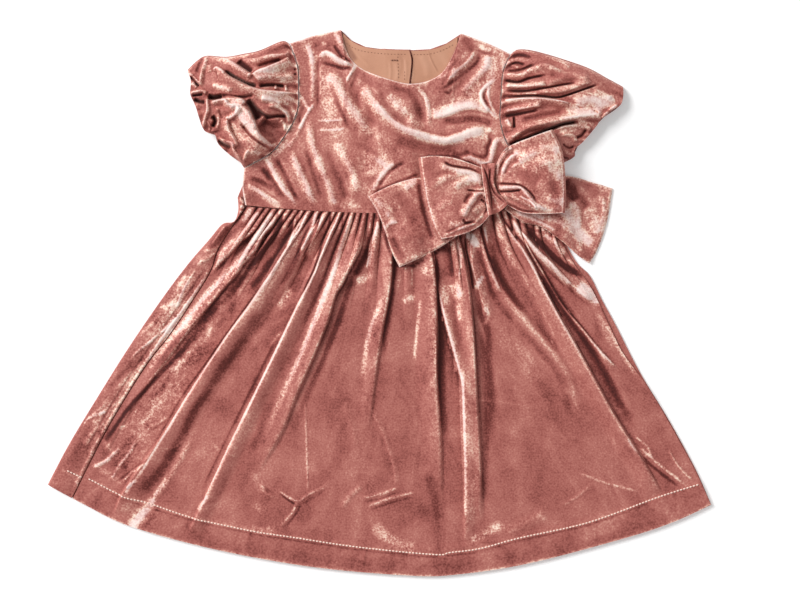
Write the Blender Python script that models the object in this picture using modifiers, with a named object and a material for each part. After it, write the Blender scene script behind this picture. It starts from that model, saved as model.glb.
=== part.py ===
"""A toddler's party dress in crushed velvet, laid flat on its back.

X runs across the dress, Y up it and Z off the surface that it lies on. Tables and functions are in
millimetres, and a finished mesh is in metres. Left is the side at -X.
"""
import math

import bmesh
import bpy
from mathutils import Vector
from mathutils.bvhtree import BVHTree
from mathutils.kdtree import KDTree

MM = 0.001

VELVET = 1.5          # a panel's wall
LINING = 1.0
SEAM = 0.3            # the gap that two pieces keep
STEEPEST = 2.2        # how many times its thickness a wall may be high on a slope
ABOVE_ALL = 100.0

FRONT_LOW = VELVET + SEAM     # the front lies on the back

# Centre back: the right half's placket lies under the left half
PLACKET_LEFT = 5.0
PLACKET_RIGHT = 28.0
PLACKET = 2.8         # folded double
BUTTON_X = 13.0
BUTTON_YS = (217.0, 170.0, 123.0)
BUTTON_RADIUS = 5.6
BUTTON_THICK = 1.7

# Waist seam: a shallow curve, lowest a little right of the middle
WAIST_MID = 25.0
WAIST_LOW = 80.5
WAIST_RISE = 7.3
WAIST_HALF = 144.5

HEM_EXTRA = 0.7       # what the turned-up hem adds

HEM = ((-298, -164), (-266, -181), (-223, -201), (-147, -221.5), (-61, -237), (26, -244.8), (69, -244),
       (134, -234), (220, -211.5), (264, -197), (298.4, -181.5))
LEFT_FOLD = ((-127.5, 95), (-127, 83), (-131, 73), (-141, 71), (-153, 57), (-172, 35), (-196, 3), (-226, -41),
             (-253, -84), (-279, -127), (-298, -163))
LEFT_SEAM = ((-122.9, 95), (-120.6, 86.5), (-130, 72), (-145, 48), (-152, 28), (-168, 2), (-188, -28),
             (-211, -58), (-240, -105), (-257, -137), (-276, -175.5))
RIGHT_EDGE = ((170, 87), (165, 62), (177, 37), (189, 25), (200, 3), (212, -19), (234, -62), (260, -105),
              (284, -149), (298.4, -181.5))
RIGHT_SEAM = ((169.5, 87.5), (164, 60), (173, 38), (188, 17), (201, -8), (211, -30), (220, -47), (241, -75.5),
              (259, -105.5), (283, -149.5), (297.6, -181))
BACK_WAIST = ((-127.5, 95), (170, 87))

NECK_FRONT = ((-34.7, 245.3), (-30.2, 228.2), (-22.6, 215.6), (-8, 206.4), (17.6, 198), (31.7, 196.7),
              (46.8, 200.7), (57.2, 207.9), (64.4, 219.6), (69.8, 232.2), (73.4, 242.1))
NECK_BACK = ((-34.7, 245.3), (-26.6, 237.1), (-14, 230.7), (4, 228.2), (24, 227.5), (44.3, 228), (59.5, 233.1),
             (73.4, 242.1))
SHOULDER_LEFT = ((-80.5, 233.2), (-58, 240.5), (-34.7, 245.3))
SHOULDER_RIGHT = ((73.4, 242.1), (97, 233.5), (117.5, 223.8))
ARMHOLE_LEFT = ((-80.5, 233.2), (-73.4, 212.4), (-72.5, 190.8), (-72.8, 176.4), (-77, 162.9), (-85.1, 149.4),
                (-96.8, 135), (-110.3, 126.9), (-121.6, 121))
ARMHOLE_RIGHT = ((117.5, 223.8), (110.9, 207.9), (109.2, 190.8), (108.6, 176.9), (108, 166.5), (111.5, 150.3),
                 (120, 136), (138, 124), (160, 118.5))
SIDE_LEFT = ((-121.6, 121), (-122.9, 104), (-120.2, 87.8))
SIDE_RIGHT = ((160, 118.5), (166, 104), (169.7, 87.8))
ARM_SHARE = 0.78      # of a bodice's side that is armhole


# ---------------------------------------------------------------- lines and panels

def smooth(points, steps=8):
    """The points joined by one smooth line of short steps."""
    points = [Vector(point) for point in points]
    ends = [points[0]] + points + [points[-1]]
    line = []
    for before, here, there, after in zip(ends, ends[1:], ends[2:], ends[3:]):
        for step in range(steps):
            t = step / steps
            line.append(0.5 * (2 * here + (there - before) * t
                               + (2 * before - 5 * here + 4 * there - after) * t ** 2
                               + (3 * here - before - 3 * there + after) * t ** 3))
    return line + [points[-1]]


class Edge:
    """One side of a panel: smooth runs that meet in corners, each with its share of the way from 0 to 1."""

    def __init__(self, *runs, shares=(1.0,)):
        self.runs = []
        start = 0.0
        for run, share in zip(runs, shares):
            line = smooth(run)
            lengths = [0.0]
            for a, b in zip(line, line[1:]):
                lengths.append(lengths[-1] + (b - a).length)
            self.runs.append((start, share, line, lengths))
            start += share

    def __call__(self, t):
        for start, share, line, lengths in reversed(self.runs):
            if t >= start or start == 0.0:
                break
        along = min(max((t - start) / share, 0.0), 1.0) * lengths[-1]
        for a, b, low, high in zip(line, line[1:], lengths, lengths[1:]):
            if along <= high:
                return a.lerp(b, (along - low) / (high - low) if high > low else 0.0)
        return line[-1].copy()


def beside(points, gap):
    """The points moved sideways by a gap, to the right of the way they run, or left where it is below 0."""
    points = [Vector(point) for point in points]
    moved = []
    for before, here, after in zip(points[:1] + points, points, points[1:] + points[-1:]):
        way = (after - before).normalized()
        moved.append(here + gap * Vector((way.y, -way.x)))
    return moved


def reading(points):
    """The height of a line that runs left to right, at any x."""
    line = smooth(points)

    def at(x):
        for a, b in zip(line, line[1:]):
            if x <= b.x:
                return a.y + (b.y - a.y) * (x - a.x) / (b.x - a.x)
        return line[-1].y
    return at


def panel(top, bottom, left, right, fade=1):
    """The flat place of (u, v), u across and v down, between four edges. With a higher fade the two side
    edges' own curves reach less far into the panel."""
    corners = (top(0), top(1), bottom(0), bottom(1))

    def place(u, v):
        straight = top(u).lerp(bottom(u), v)
        bent_left = left(v) - corners[0].lerp(corners[2], v)
        bent_right = right(v) - corners[1].lerp(corners[3], v)
        return straight + bent_left * (1 - u) ** fade + bent_right * u ** fade
    return place


def ease(t):
    """0 below 0 and 1 above 1, with a soft start and end."""
    t = min(max(t, 0.0), 1.0)
    return t * t * (3 - 2 * t)


def bump(t):
    """1 at 0, falling softly to 0 at 1 and -1."""
    return ease(1 - abs(t))


def even(count):
    """Places from 0 to 1, evenly spaced."""
    return [index / count for index in range(count + 1)]


def waist(x):
    """The front waist seam at x."""
    return Vector((x, WAIST_LOW + WAIST_RISE * ((x - WAIST_MID) / WAIST_HALF) ** 2))


def creases(table):
    """Soft ridges along lines, and troughs where the height is below 0. They taper to both ends."""
    rows = [(smooth(points, 4), high, wide) for points, high, wide in table]

    def height(x, y):
        total = 0.0
        for line, high, wide in rows:
            nearest, along = wide, 0.0
            for index, (a, b) in enumerate(zip(line, line[1:])):
                way = b - a
                t = min(max((Vector((x, y)) - a).dot(way) / way.length_squared, 0.0), 1.0)
                distance = (Vector((x, y)) - a - way * t).length
                if distance < nearest:
                    nearest, along = distance, (index + t) / (len(line) - 1)
            total += high * bump(nearest / wide) * min(1.0, 4 * along + 0.25, 4 * (1 - along) + 0.25)
        return total
    return height


# ---------------------------------------------------------------- cloth

def between(marks, index):
    """The mark at a whole index, or between two marks."""
    low = min(int(index), len(marks) - 2)
    return marks[low] + (marks[low + 1] - marks[low]) * (index - low)


def cloth(name, material, across, down, sides, closed=False, crowded=0.0):
    """A closed wall of cloth. across and down are the places of its columns and rows, from 0 to 1, and
    sides(u, v) gives the points on its outer and its inner side. A closed one is a tube, whose last column
    is its first, and above crowded there are two columns for each one below."""
    columns, rows = len(across) - 1, len(down) - 1
    bm = bmesh.new()
    bmesh.ops.create_grid(bm, x_segments=columns, y_segments=rows, size=0.5)
    if crowded:
        limit = 0.5 - (sum(mark <= crowded for mark in down) - 0.5) / rows
        level = [edge for edge in bm.edges
                 if abs(edge.verts[0].co.y - edge.verts[1].co.y) < 1e-6 and edge.verts[0].co.y > limit]
        bmesh.ops.subdivide_edges(bm, edges=level, cuts=1, use_grid_fill=True)
    u_of = bm.verts.layers.float.new("u")
    v_of = bm.verts.layers.float.new("v")
    for vert in bm.verts:
        vert[u_of] = between(across, (vert.co.x + 0.5) * columns)
        vert[v_of] = between(down, (0.5 - vert.co.y) * rows)
    for vert in bm.verts:
        vert.co = sides(vert[u_of], vert[v_of])[0]
    if closed:
        bmesh.ops.remove_doubles(bm, verts=bm.verts, dist=1e-4)
    inner = bmesh.ops.extrude_face_region(bm, geom=bm.faces[:], use_keep_orig=True)
    for vert in inner["geom"]:
        if isinstance(vert, bmesh.types.BMVert):
            vert.co = sides(vert[u_of], vert[v_of])[1]
    return finished(name, material, bm)


def finished(name, material, bm):
    """The bmesh, in millimetres, as a named object in metres."""
    bmesh.ops.recalc_face_normals(bm, faces=bm.faces)
    bmesh.ops.triangulate(bm, faces=bm.faces)
    bmesh.ops.scale(bm, vec=(MM, MM, MM), verts=bm.verts)
    mesh = bpy.data.meshes.new(name)
    bm.to_mesh(mesh)
    bm.free()
    mesh.materials.append(material)
    mesh.shade_smooth()
    mesh.set_sharp_from_angle(angle=math.radians(50))
    piece = bpy.data.objects.new(name, mesh)
    dress.objects.link(piece)
    return piece


def hanging(place, top, wall, lowest=0.0):
    """The two sides of a wall whose outer side is top(u, v) high. Where it slopes it is higher, so that it
    is as thick there, but it stays above lowest."""
    reach = 0.002

    def sides(u, v):
        x, y = place(u, v)
        z = top(u, v)
        run = (place(u + reach, v) - place(u - reach, v)).length
        climb = (top(u + reach, v) - top(u - reach, v)) / run
        deep = wall * min(math.hypot(1, climb), STEEPEST)
        return (x, y, z), (x, y, max(z - deep, lowest))
    return sides


def ring(x, y, reach):
    """A point and eight round it."""
    return [(x, y)] + [(x + reach * math.cos(angle), y + reach * math.sin(angle))
                       for angle in (math.tau * turn / 8 for turn in range(8))]


class Heap:
    """What is laid out already. A new piece finds in it what it lies on."""

    def __init__(self):
        self.surfaces = []
        self.points = []

    def add(self, *pieces):
        for piece in pieces:
            bm = bmesh.new()
            bm.from_mesh(piece.data)
            bmesh.ops.scale(bm, vec=(1 / MM, 1 / MM, 1 / MM), verts=bm.verts)
            self.surfaces.append(BVHTree.FromBMesh(bm))
            heights = [vert.co.z for vert in bm.verts]
            flat = KDTree(len(heights))
            for index, vert in enumerate(bm.verts):
                flat.insert((vert.co.x, vert.co.y, 0), index)
            flat.balance()
            self.points.append((flat, heights))
            bm.free()

    def peak(self, x, y, reach):
        """The highest point within reach of (x, y), or 0 on the bare floor."""
        highest = 0.0
        for across, along in ring(x, y, reach):
            for surface in self.surfaces:
                hit = surface.ray_cast(Vector((across, along, ABOVE_ALL)), Vector((0, 0, -1)))[0]
                if hit:
                    highest = max(highest, hit.z)
        for flat, heights in self.points:
            for _, index, _ in flat.find_range((x, y, 0), reach):
                highest = max(highest, heights[index])
        return highest

    def bed(self, x, y, reach):
        """The soft line that a piece bridges the peaks with: never lower than what is below."""
        around = [self.peak(across, along, reach) for across, along in ring(x, y, 0.5 * reach)]
        return sum(around) / len(around) + SEAM


# ---------------------------------------------------------------- materials

def finish(name, colour, roughness):
    material = bpy.data.materials.new(name)
    material.use_nodes = True
    shader = material.node_tree.nodes["Principled BSDF"]
    shader.inputs["Base Color"].default_value = (*colour, 1)
    shader.inputs["Roughness"].default_value = roughness
    shader.inputs["Metallic"].default_value = 0.0
    return material


# ---------------------------------------------------------------- back

def back_waist(x):
    """The back waist seam at x: straight, and a little higher than the front one."""
    (left, left_y), (right, right_y) = BACK_WAIST
    return left_y + (right_y - left_y) * (x - left) / (right - left)


def back_low(x):
    """The back bodice's lower edge at x."""
    return back_waist(x) + SEAM / 2


def arm_rows(side_rows):
    """The rows of a bodice panel: those along the armhole, and those down the side."""
    return [ARM_SHARE * mark for mark in even(12)] + [ARM_SHARE + (1 - ARM_SHARE) * mark
                                                      for mark in even(side_rows)][1:]


def back_half_left(velvet):
    """The left half of the back bodice. Its centre edge climbs on to the right half's placket."""
    neck = reading(NECK_BACK)
    climb, landed = PLACKET_LEFT - 4.0, PLACKET_LEFT - SEAM
    strip = (climb, landed, 16.0, PLACKET_RIGHT)
    corner = (BACK_WAIST[0][0], back_low(BACK_WAIST[0][0]))
    side = SIDE_LEFT[:2] + ((-124.5, 97), corner)
    main = panel(top=Edge(SHOULDER_LEFT, [p for p in NECK_BACK if p[0] < climb] + [(climb, neck(climb))],
                          shares=(0.4, 0.6)),
                 bottom=Edge([corner, (climb, back_low(climb))]),
                 left=Edge(ARMHOLE_LEFT, side, shares=(ARM_SHARE, 1 - ARM_SHARE)),
                 right=lambda v: Vector((climb, neck(climb) + (back_low(climb) - neck(climb)) * v)))
    across = [0.7 * mark for mark in even(5)] + [0.8, 0.9, 1.0]

    def place(u, v):
        if u <= 0.7:
            return main(u / 0.7, v)
        x = between(strip, (u - 0.7) * 10)
        return Vector((x, neck(x) + (back_low(x) - neck(x)) * v))

    def top(u, v):
        return VELVET + (PLACKET + SEAM) * min(max((place(u, v).x - climb) / (landed - climb), 0.0), 1.0)

    def sides(u, v):
        x, y = place(u, v)
        return (x, y, top(u, v)), (x, y, top(u, v) - VELVET)
    return cloth("back_bodice_left", velvet, across, arm_rows(2), sides)


def back_half_right(velvet):
    """The right half, with the placket folded double and a dimple for each button."""
    neck = reading(NECK_BACK)
    strip = (PLACKET_LEFT, 16.0, PLACKET_RIGHT - 2, PLACKET_RIGHT + 2)
    edge = strip[-1]
    corner = (BACK_WAIST[1][0], back_low(BACK_WAIST[1][0]))
    main = panel(top=Edge([(edge, neck(edge))] + [p for p in NECK_BACK if p[0] > edge], SHOULDER_RIGHT,
                          shares=(0.6, 0.4)),
                 bottom=Edge([(edge, back_low(edge)), corner]),
                 left=lambda v: Vector((edge, neck(edge) + (back_low(edge) - neck(edge)) * v)),
                 right=Edge(ARMHOLE_RIGHT, SIDE_RIGHT[:2] + (corner,), shares=(ARM_SHARE, 1 - ARM_SHARE)))
    across = [0.0, 0.1, 0.2] + [0.3 + 0.7 * mark for mark in even(5)]

    def place(u, v):
        if u >= 0.3:
            return main((u - 0.3) / 0.7, v)
        x = between(strip, u * 10)
        return Vector((x, neck(x) + (back_low(x) - neck(x)) * v))

    def sides(u, v):
        x, y = place(u, v)
        top = VELVET + (PLACKET - VELVET) * min(max((edge - x) / 4, 0.0), 1.0)
        return (x, y, top), (x, y, 0.0)
    half = cloth("back_bodice_right", velvet, across, arm_rows(2), sides)
    for y in BUTTON_YS:
        cut = disc("dimple", BUTTON_RADIUS + SEAM, -1.0, BUTTON_THICK + SEAM, BUTTON_X, y)
        cutters.objects.link(cut)
        cut.hide_render = True
        cut.display_type = 'WIRE'
        dimple = half.modifiers.new("dimple", 'BOOLEAN')
        dimple.object = cut
    return half


def disc(name, radius, low, high, x, y):
    """A round plate between two heights."""
    bm = bmesh.new()
    bmesh.ops.create_cone(bm, cap_ends=True, segments=16, radius1=radius, radius2=radius, depth=high - low)
    bmesh.ops.translate(bm, verts=bm.verts, vec=(x, y, (low + high) / 2))
    bmesh.ops.scale(bm, vec=(MM, MM, MM), verts=bm.verts)
    mesh = bpy.data.meshes.new(name)
    bm.to_mesh(mesh)
    bm.free()
    return bpy.data.objects.new(name, mesh)


def buttons(plastic):
    """Three flat buttons down the centre back, each flush with the underside."""
    for index, y in enumerate(BUTTON_YS):
        button = disc(f"back_button_{index + 1}", BUTTON_RADIUS, 0.0, BUTTON_THICK, BUTTON_X, y)
        button.data.materials.append(plastic)
        dress.objects.link(button)
        rim = button.modifiers.new("rim", 'BEVEL')
        rim.width = 0.5 * MM
        rim.limit_method = 'ANGLE'


def linings(satin):
    """The back bodice's lining, as far down as the front neckline lets it show."""
    neck = reading(NECK_BACK)
    halves = (
        # name, left side, right side, columns
        ("back_lining_left", -33.0, PLACKET_RIGHT - 0.4, 16),
        ("back_lining_right", PLACKET_RIGHT + 2 + SEAM, 70.0, 9),
    )
    turned_in = 0.8       # the neck seam, rolled to the inside
    lowest = reading(((-33, 232), (-20, 200), (0, 186), (30, 180), (55, 190), (71, 228)))
    made = []
    for name, left, right, columns in halves:
        def place(u, v):
            x = left + (right - left) * u
            high = neck(x) - turned_in
            return Vector((x, high + (lowest(x) - high) * v))

        def sides(u, v):
            x, y = place(u, v)
            low = under.bed(x, y, 2.0)
            return (x, y, low + LINING), (x, y, low)
        made.append(cloth(name, satin, even(columns), even(6), sides))
    return made


def back_skirt(velvet):
    """The back of the skirt: flat on the floor, and along its left side folded round to the front, where
    it meets the front in the side seam."""
    bend = 2.4            # the fold's outer radius
    sag = 1.6             # how far the folded part stands off between the fold and the seam
    fold, seam = Edge(LEFT_FOLD), Edge(LEFT_SEAM)
    waist_line = [(x, y - SEAM / 2) for x, y in BACK_WAIST]
    flat = panel(top=Edge(waist_line), bottom=Edge(HEM), left=fold, right=Edge(RIGHT_EDGE), fade=2)
    low_columns, turn_columns, top_columns = 7, 5, 4
    columns = low_columns + turn_columns + top_columns
    down = (0, 0.03, 0.06, 0.1, 0.15, 0.21, 0.28, 0.36, 0.45, 0.55, 0.65, 0.75, 0.85, 0.93, 1.0)

    def sides(u, v):
        column = round(u * columns)
        start, end = flat(0, v), seam(v)
        way = (end - start).normalized()
        if column <= low_columns:
            across = 1 - column / low_columns
            x, y = flat(across, v) if across > 0.03 else start + way * bend
            return (x, y, 0.0), (x, y, VELVET)
        if column <= low_columns + turn_columns:
            angle = math.pi * (column - low_columns) / turn_columns
            outer = start + way * bend * (1 - math.sin(angle))
            inner = start + way * (bend - (bend - VELVET) * math.sin(angle))
            return ((*outer, bend * (1 - math.cos(angle))),
                    (*inner, bend - (bend - VELVET) * math.cos(angle)))
        t = (column - low_columns - turn_columns) / top_columns
        x, y = (start + way * bend).lerp(end - way * 2 * SEAM, t)
        low = FRONT_LOW + (2 * bend - FRONT_LOW - VELVET) * (1 - ease(t))
        low += sag * math.sin(math.pi * t) * (1 - 0.5 * v)
        return (x, y, low + VELVET), (x, y, low)
    return cloth("back_skirt", velvet, even(columns), down, sides)


# ---------------------------------------------------------------- front skirt

FOLDS = (
    # crest at the waist, at the hem, bend half way, height at the waist, at the hem, half width at the
    # hem, lean of its crest to the right, small gathers after it
    (-106, -271, 0, 4.5, 1.2, 18, 0.0, 1),
    (-94, -264, 0, 5.5, 0.0, 14, 0.2, 1),
    (-81, -253, 0, 5.5, 0.0, 14, 0.0, 2),
    (-63, -241, 0, 8.5, 4.5, 22, 0.5, 1),
    (-47, -211, 0, 6.0, 0.0, 12, 0.0, 1),
    (-35, -176, 0, 9.0, 5.0, 26, 0.5, 1),
    (-24, -133, 0, 9.0, 2.5, 24, 0.3, 1),
    (-13, -81, 0, 5.5, 0.0, 12, 0.0, 1),
    (-1, -27, 0, 7.5, 1.5, 26, 0.2, 3),
    (27, 23, 0, 7.0, 3.0, 30, 0.0, 4),
    (62, 85, 8, 8.5, 4.5, 26, 0.5, 3),
    (90, 192, -20, 6.5, 1.5, 30, 0.3, 1),
    (105, 249, 0, 9.0, 4.0, 22, 0.5, 1),
    (119, 268, 0, 8.0, 1.5, 14, 0.4, 2),
    (140, 284, 0, 5.0, 0.0, 10, 0.0, 2),
    (159, 293, 0, 4.5, 0.0, 8, 0.0, 1),
)
FOLD_WIDE = 4.0       # a fold's half width at the waist
BEND_PEAK = 9.48      # makes v * (1 - v) ** 3 1 where it is highest
SMALL_HIGH = 4.0
SMALL_REACH = 0.16
SEWN_IN = 0.5         # of a gather's height where it enters the waist seam
SEWN_FREE = 0.07      # how far down it has its whole height
SKIRT_ROWS = (0, 0.015, 0.035, 0.065, 0.1, 0.15, 0.21, 0.29, 0.38, 0.48, 0.59, 0.71, 0.83, 0.915, 0.93, 1.0)
HEM_STITCHED = 0.915  # the row that the hem is turned up to
CROWDED = 0.065


def gathers():
    """Every gather from left to right, small ones among the folds: waist, hem, bend, height, reach."""
    left = (LEFT_SEAM[1][0] + 2 * SEAM, LEFT_SEAM[-1][0], 0)
    right = (RIGHT_SEAM[0][0] - SEAM, RIGHT_SEAM[-1][0], 0)
    rows = []
    stops = [left] + [fold[:3] for fold in FOLDS] + [right]
    counts = [1] + [fold[-1] for fold in FOLDS]
    for index, (here, there, count) in enumerate(zip(stops, stops[1:], counts)):
        for small in range(count):
            t = (small + 1) / (count + 1)
            vary = 1 + 0.25 * math.sin(7.3 * index + 2.9 * small)
            between_folds = [a + (b - a) * t for a, b in zip(here, there)]
            rows.append(between_folds + [SMALL_HIGH * vary, SMALL_REACH * vary])
        if index < len(FOLDS):
            rows.append([*FOLDS[index][:3], 0.0, 1.0])
    return left, rows, right


def front_skirt(velvet):
    """The front of the skirt, gathered into the waist seam. Each small gather runs out below it, and the
    folds go on as wide soft ridges, some of them to the hem."""
    left, rows, right = gathers()
    count = len(rows)
    marks = [left]
    for row, following in zip(rows, rows[1:] + [right]):
        marks += [row, [(a + b) / 2 for a, b in zip(row, following)]]
    marks[-1] = right
    crests = [(2 * index + 1) / (2 * count) for index, row in enumerate(rows) if row[3] == 0.0]
    hem = reading(HEM)

    def mark(u, column):
        return between([entry[column] for entry in marks], u * 2 * count)

    def top(u):
        return waist(mark(u, 0)) - Vector((0, SEAM / 2))

    def bottom(u):
        x = mark(u, 1)
        return Vector((x, hem(x)))
    seam = Edge(LEFT_SEAM[1:])
    spread = panel(top, bottom, left=lambda v: seam(v) + Vector((2 * SEAM, 0)), right=Edge(RIGHT_SEAM), fade=5)

    def place(u, v):
        return spread(u, v) + Vector((mark(u, 2) * BEND_PEAK * v * (1 - v) ** 3, 0))

    def height(u, v):
        index = min(int(u * count), count - 1)
        high, reach = rows[index][3:5]
        total = high * max(0.0, 1 - v / reach) * math.sin(math.pi * (u * count - index))
        x = place(u, v).x
        for crest, (_, _, _, at_waist, at_hem, wide, lean, _) in zip(crests, FOLDS):
            away = x - place(crest, v).x
            half = (FOLD_WIDE + (wide - FOLD_WIDE) * v ** 0.8) * (1 - math.copysign(lean, away))
            if abs(away) < half:
                tall = at_hem + (at_waist - at_hem) * (1 - v) ** 2
                total += tall * bump(away / half) * (1 - 0.5 * ease((v - 0.8) / 0.2))
        sewn = SEWN_IN + (1 - SEWN_IN) * ease(v / SEWN_FREE)
        turned_up = HEM_EXTRA * (v > HEM_STITCHED)
        return FRONT_LOW + VELVET + total * sewn + turned_up
    return cloth("front_skirt", velvet, even(2 * count), SKIRT_ROWS,
                 hanging(place, height, VELVET, FRONT_LOW), crowded=CROWDED)


# ---------------------------------------------------------------- front bodice

BODICE_CREASES = creases((
    # the line, height, half width
    (((-14, 194), (-4, 180), (18, 167), (38, 152), (62, 146), (95, 154)), 3.6, 11),
    (((-46, 203), (-30, 178), (-10, 160)), 2.6, 12),
    (((-100, 128), (-88, 108), (-76, 88)), 2.6, 9),
    (((-86, 134), (-72, 112), (-56, 88)), 2.6, 8),
    (((-28, 138), (-22, 118), (-18, 100)), 1.8, 9),
    (((-52, 222), (-46, 226), (-38, 219), (-22, 214)), 4.0, 7),
    (((90, 225), (80, 205), (64, 190)), -2.2, 8),
    (((86, 230), (72, 212), (56, 198)), 2.6, 8),
    (((90, 184), (97, 196), (104, 200)), 2.4, 7),
    (((82, 152), (92, 140), (100, 134)), 3.4, 8),
    (((-114, 104), (-98, 98), (-84, 88)), 2.4, 10),
))
BODICE_LIFT = 2.0     # how far it stands off the back in the middle


def front_bodice(velvet):
    """The front bodice, over the back and its lining, with a scooped neck."""
    left_x, right_x = SIDE_LEFT[-1][0], SIDE_RIGHT[-1][0]
    across = [0.2 * mark for mark in even(5)] + [0.2 + 0.6 * mark for mark in even(14)][1:]
    across += [0.8 + 0.2 * mark for mark in even(5)][1:]
    place = panel(top=Edge(SHOULDER_LEFT, NECK_FRONT, SHOULDER_RIGHT, shares=(0.2, 0.6, 0.2)),
                  bottom=lambda u: waist(left_x + (right_x - left_x) * u) + Vector((0, SEAM / 2)),
                  left=Edge(ARMHOLE_LEFT, SIDE_LEFT, shares=(ARM_SHARE, 1 - ARM_SHARE)),
                  right=Edge(ARMHOLE_RIGHT, SIDE_RIGHT, shares=(ARM_SHARE, 1 - ARM_SHARE)))

    def sides(u, v):
        x, y = place(u, v)
        inside = ease(4 * min(u, 1 - u)) * ease(5 * min(v, 1 - v) + 0.1)
        low = under.bed(x, y, 7.0) + inside * (BODICE_LIFT + max(BODICE_CREASES(x, y), -0.9 * BODICE_LIFT))
        return (x, y, low + VELVET), (x, y, low)
    return cloth("front_bodice", velvet, across, arm_rows(4), sides)


# ---------------------------------------------------------------- sleeves

RIM = 3.2             # a sleeve's folded edge, from the floor up
RIM_OUT, RIM_IN = 0.8, 1.6    # how far in the wall's two sides start from it
SLEEVE_LOW = 2.0      # how high over the rim the sleeve stands at the armhole
SLEEVE_GATHER = 1.6
ARM_GAP = 0.65        # a seam's gap round the armhole's curve

SLEEVES = {
    "left": dict(
        armhole=beside(ARMHOLE_LEFT, ARM_GAP),
        cuff=((-172.4, 209.7), (-168.8, 198.5), (-169.2, 187.2), (-164.3, 175.5), (-157, 154.8), (-148, 152),
              (-144, 142.2), (-134.6, 133.2), (-124.5, 126)),
        upper=((-88, 235.4), (-107.6, 227.2), (-122, 224.1), (-137.7, 221.4), (-155.3, 222.3),
               (-164, 217.8), (-172.4, 209.7)),
        puff=14.0,
        folds=creases((
            # the line, height, half width
            (((-158, 216), (-137, 212), (-114, 199), (-78, 196)), 4.0, 12),
            (((-140, 224), (-118, 211), (-100, 208)), -3.0, 9),
            (((-164, 186), (-142, 180), (-122, 166), (-112, 146)), 4.5, 12),
            (((-112, 182), (-98, 165), (-90, 150)), -3.5, 15),
        )),
    ),
    "right": dict(
        armhole=beside(ARMHOLE_RIGHT, -ARM_GAP),
        cuff=((218.8, 194.4), (218, 183), (214, 175.5), (199, 165), (194, 158), (182, 144), (175, 138),
              (174.5, 131), (165, 126)),
        upper=((123.8, 227.7), (133.3, 227.7), (146, 225), (164, 219.6), (187.3, 211.5),
               (204.8, 202), (218.8, 194.4)),
        puff=15.0,
        folds=creases((
            # the line, height, half width
            (((114, 184), (141, 184), (170, 179), (205, 175)), 3.0, 9),
            (((120, 212), (145, 205), (185, 200)), 2.5, 10),
            (((113, 152), (147, 163), (188, 171), (204, 172)), 3.5, 12),
            (((118, 134), (147, 145), (182, 152), (192, 154)), -6.0, 14),
        )),
    ),
}


def sleeve(side, velvet):
    """A puff sleeve lying flat: a tube from the armhole to the cuff, gathered at both, flat on the floor
    below and puffed above."""
    sizes = SLEEVES[side]
    armhole, cuff = sizes["armhole"], sizes["cuff"]
    place = panel(top=Edge(armhole), bottom=Edge(cuff), left=Edge([armhole[0], *sizes["upper"]]),
                  right=Edge([armhole[-1], cuff[-1]]))
    top_columns, rim_columns, low_columns = 24, 2, 5
    columns = top_columns + low_columns + 2 * rim_columns
    down = (0, 0.06, 0.14, 0.24, 0.36, 0.48, 0.6, 0.72, 0.84, 0.94, 1.0)

    def height(s, v):
        """The upper side, s from the shoulder to the underarm and v from the armhole to the cuff."""
        x, y = place(s, v)
        round_off = max(0.0, 1 - (2 * s - 1) ** 4) ** 0.5
        drawn_in = 1 - 0.55 * ease((v - 0.6) / 0.4)
        swell = SLEEVE_LOW + (sizes["puff"] - SLEEVE_LOW) * ease(v / 0.35) * drawn_in
        sewn = 1 - ease(v / 0.4) + ease((v - 0.75) / 0.25)
        gather = SLEEVE_GATHER * sewn * math.cos(math.pi * top_columns * s)
        high = RIM + round_off * (swell + gather + sizes["folds"](x, y) * ease(v / 0.15))
        return max(high, RIM)

    def sides(u, v):
        column = round(u * columns) % columns
        chord = (place(1, v) - place(0, v)).length
        inset, rim = RIM_IN / chord, RIM_OUT / chord
        if column <= top_columns:
            s = column / top_columns
            x, y = place(rim + s * (1 - 2 * rim), v)
            inner_x, inner_y = place(inset + s * (1 - 2 * inset), v)
            z = height(s, v)
            return (x, y, z), (inner_x, inner_y, max(z - 1.15 * VELVET, VELVET + SEAM))
        column -= top_columns
        if rim_columns <= column <= rim_columns + low_columns:
            s = 1 - (column - rim_columns) / low_columns
            x, y = place(rim + s * (1 - 2 * rim), v)
            inner_x, inner_y = place(inset + s * (1 - 2 * inset), v)
            return (x, y, 0.0), (inner_x, inner_y, VELVET)
        side_u, step = (1, column) if column < rim_columns else (0, columns - top_columns - column)
        x, y = place(side_u, v)
        inner_x, inner_y = place(abs(side_u - inset), v)
        t = step / rim_columns
        return (x, y, RIM * (0.85 - 0.7 * t)), (inner_x, inner_y, VELVET + SEAM * (0.9 - 0.8 * t))
    return cloth(f"sleeve_{side}", velvet, even(columns), down, sides, closed=True)


# ---------------------------------------------------------------- bow

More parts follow.
